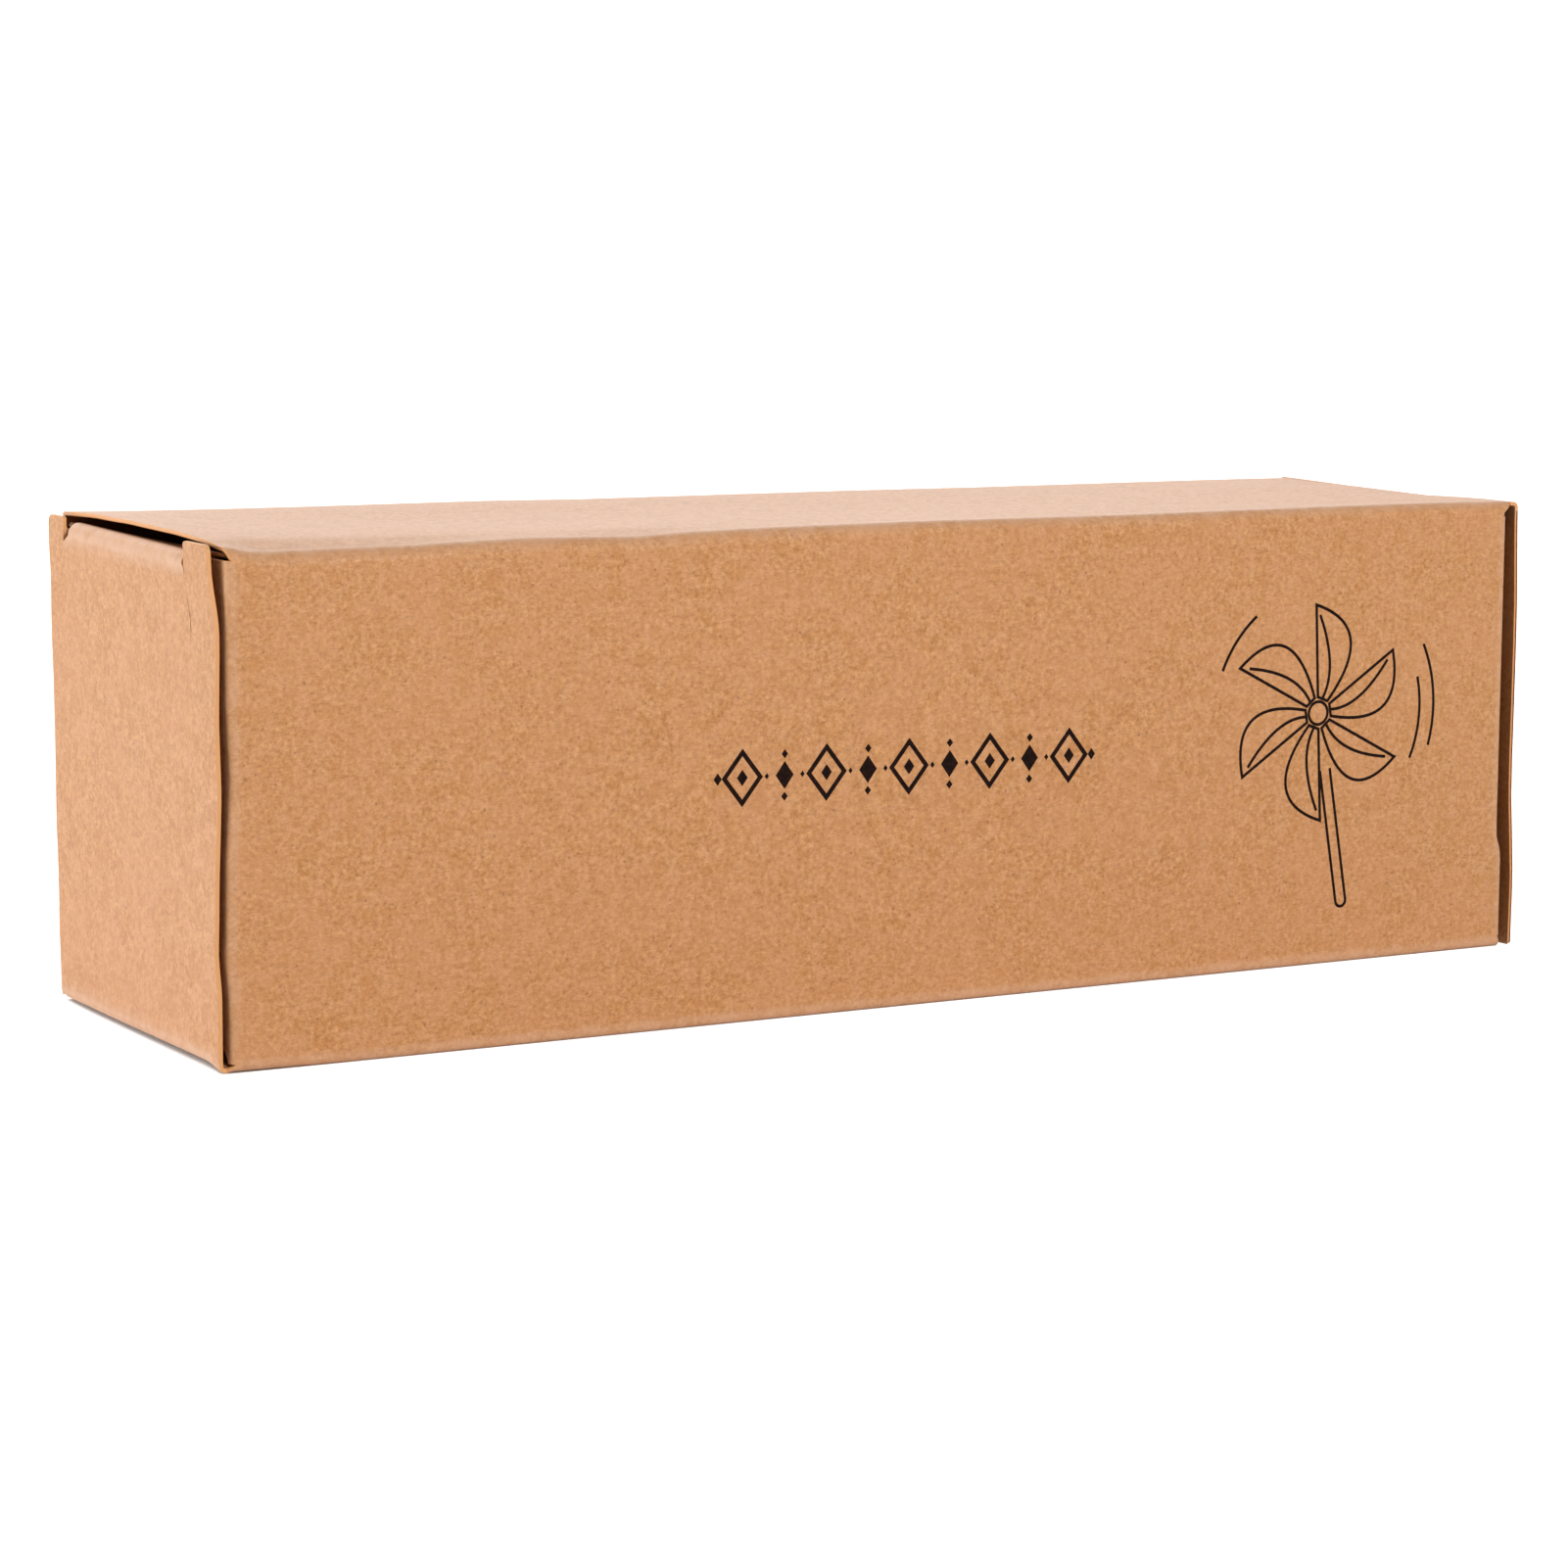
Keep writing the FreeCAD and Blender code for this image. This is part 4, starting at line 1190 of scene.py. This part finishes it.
# %% Balls
BEADS, BEAD = 480, 1.7 * MM
SEAM_WIDTH, SEAM_DEPTH, DOME = 0.4 * MM, 0.14 * MM, 0.05 * MM
CELLS = 56


def cube_sphere(cells):
    """Unit directions from six grids of angles, tan a and tan b on each side of a cube, and their quads."""
    angle = np.tan(np.linspace(-math.pi / 4, math.pi / 4, cells + 1))
    u, v = np.meshgrid(angle, angle, indexing="ij")
    one = np.ones_like(u)
    sides = []
    for way in (-1, 1):
        for axes in ((0, 1, 2), (1, 2, 0), (2, 0, 1)):
            grid = np.stack([u, v * way, one * way], axis=-1)
            sides.append(grid[..., list(axes)])
    points = unit(np.stack(sides)).reshape(-1, 3)
    index = np.arange(len(points)).reshape(6, cells + 1, cells + 1)
    quads = np.stack([index[:, :-1, :-1], index[:, 1:, :-1], index[:, 1:, 1:], index[:, :-1, 1:]], axis=-1)
    keys = np.round(points * 1e6).astype(np.int64)
    _, first, inverse = np.unique(keys, axis=0, return_index=True, return_inverse=True)
    return points[first], inverse.reshape(-1)[quads.reshape(-1, 4)]


def bead_middles(random):
    """Directions spread by the golden angle, each nudged at random."""
    place = np.arange(BEADS) + 0.5
    height = 1 - 2 * place / BEADS
    turn = math.pi * (1 + math.sqrt(5)) * place
    flat = np.sqrt(1 - height ** 2)
    middles = np.stack([flat * np.cos(turn), flat * np.sin(turn), height], axis=1)
    return unit(middles + random.normal(0, 0.022, middles.shape))


def foam_ball(name, seed):
    """A sphere drawn in at the seams and domed at each bead.

    Its reach is radius - SEAM_DEPTH exp(-((d2 - d1) / SEAM_WIDTH)^2) - DOME (d1 / BEAD)^2, where d1 and
    d2 are the distances to the two nearest beads.
    """
    low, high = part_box(name)
    centre = np.array([(low[k] + high[k]) / 2 for k in range(3)])
    radius = (high.x - low.x) / 2
    random = np.random.default_rng(seed)
    directions, quads = cube_sphere(CELLS)
    cosines = directions @ bead_middles(random).T
    nearest = np.argmax(cosines, axis=1)
    two = np.sort(np.partition(cosines, -2, axis=1)[:, -2:], axis=1)
    d2, d1 = (np.arccos(np.clip(two, -1, 1)) * radius).T
    seam = np.exp(-((d2 - d1) / SEAM_WIDTH) ** 2)
    reach = radius - SEAM_DEPTH * seam - DOME * (d1 / BEAD) ** 2
    tone = random.random(BEADS)[nearest]
    mesh_object(name + "_foam", centre + directions * reach[:, None], [quads], FOAM, name, (name,), "foam_ball",
                seam=seam, tone=tone)


foam_ball("ball_1", 11)
foam_ball("ball_2", 12)

# %% [markdown]
# ## The light and the floor
# A soft key lamp stands high in front, a second one low at the left, and a wide one behind and above, whose
# gloss whitens the top of the carton. A pale world fills the rest. The floor is a white sheet. To the camera
# it adds light of its own, so that it goes white. That light fades where something stands close above the
# floor, which Ambient Occlusion finds, so the line of shadow under the carton stays.

# %% Floor and lights
FLOOR_SIZE = 30.0
CONTACT = 3.0 * MM


def seen_rays(tree):
    """1 where the camera, gloss or glass looks, else 0."""
    rays = add(tree, "ShaderNodeLightPath").outputs
    seen = add(tree, "ShaderNodeMath", {0: rays["Is Camera Ray"], 1: rays["Is Glossy Ray"]}, operation="MAXIMUM")
    return add(tree, "ShaderNodeMath", {
        0: seen.outputs[0], 1: rays["Is Transmission Ray"]}, operation="MAXIMUM").outputs[0]


def make_floor():
    """A white sheet whose own light fades where nearly all directions within CONTACT are blocked."""
    mesh = bpy.data.meshes.new("floor")
    side = FLOOR_SIZE / 2
    mesh.from_pydata([(-side, -side, 0), (side, -side, 0), (side, side, 0), (-side, side, 0)], [], [(0, 1, 2, 3)])
    floor = bpy.data.objects.new("floor", mesh)
    bpy.context.scene.collection.objects.link(floor)
    material, tree, shader = new_material("white_sheet")
    tree.nodes.remove(shader)
    openness = add(tree, "ShaderNodeAmbientOcclusion", {"Distance": CONTACT}, samples=12).outputs["AO"]
    shine = add(tree, "ShaderNodeMapRange", {0: openness, 1: 0.22, 2: 0.36, 4: 0.9}).outputs[0]
    strength = add(tree, "ShaderNodeMath", {0: seen_rays(tree), 1: shine}, operation="MULTIPLY")
    white = add(tree, "ShaderNodeBsdfDiffuse", {"Color": "#ececec"})
    glow = add(tree, "ShaderNodeEmission", {"Strength": strength.outputs[0]})
    both = add(tree, "ShaderNodeAddShader", {0: white.outputs[0], 1: glow.outputs[0]})
    tree.links.new(both.outputs[0], tree.nodes["Material Output"].inputs["Surface"])
    mesh.materials.append(material)


def make_world(light):
    """White where the camera, gloss or glass looks, and this much light elsewhere."""
    world = bpy.data.worlds.new("studio")
    bpy.context.scene.world = world
    world.use_nodes = True
    tree = world.node_tree
    strength = add(tree, "ShaderNodeMapRange", {0: seen_rays(tree), 3: light})
    tree.links.new(strength.outputs[0], tree.nodes["Background"].inputs["Strength"])
    tree.nodes["Background"].inputs["Color"].default_value = (1, 1, 1, 1)


def soft_lamp(name, place, aim, width, power):
    """A round lamp of this width and power in watts that looks from its place to its aim."""
    data = bpy.data.lights.new(name, "AREA")
    data.shape, data.size, data.energy = "DISK", width, power
    back = unit(np.array(place, float) - np.array(aim, float))
    right = unit(np.cross([0, 0, 1], back))
    aimed(name, data, right, np.cross(back, right), back, place).visible_camera = False


make_floor()
make_world(light=0.14)
MIDDLE = (0, 0, HEIGHT / 2)
soft_lamp("lamp_left", (-1.2, 0.5, 0.17), MIDDLE, 0.9, 18.4)
soft_lamp("lamp_front", (0.05, -1.45, 0.9), MIDDLE, 0.35, 19.8)
soft_lamp("lamp_back", (0.5, 1.5, 0.85), MIDDLE, 2.0, 15.3)
bpy.context.scene.view_settings.view_transform = "Standard"
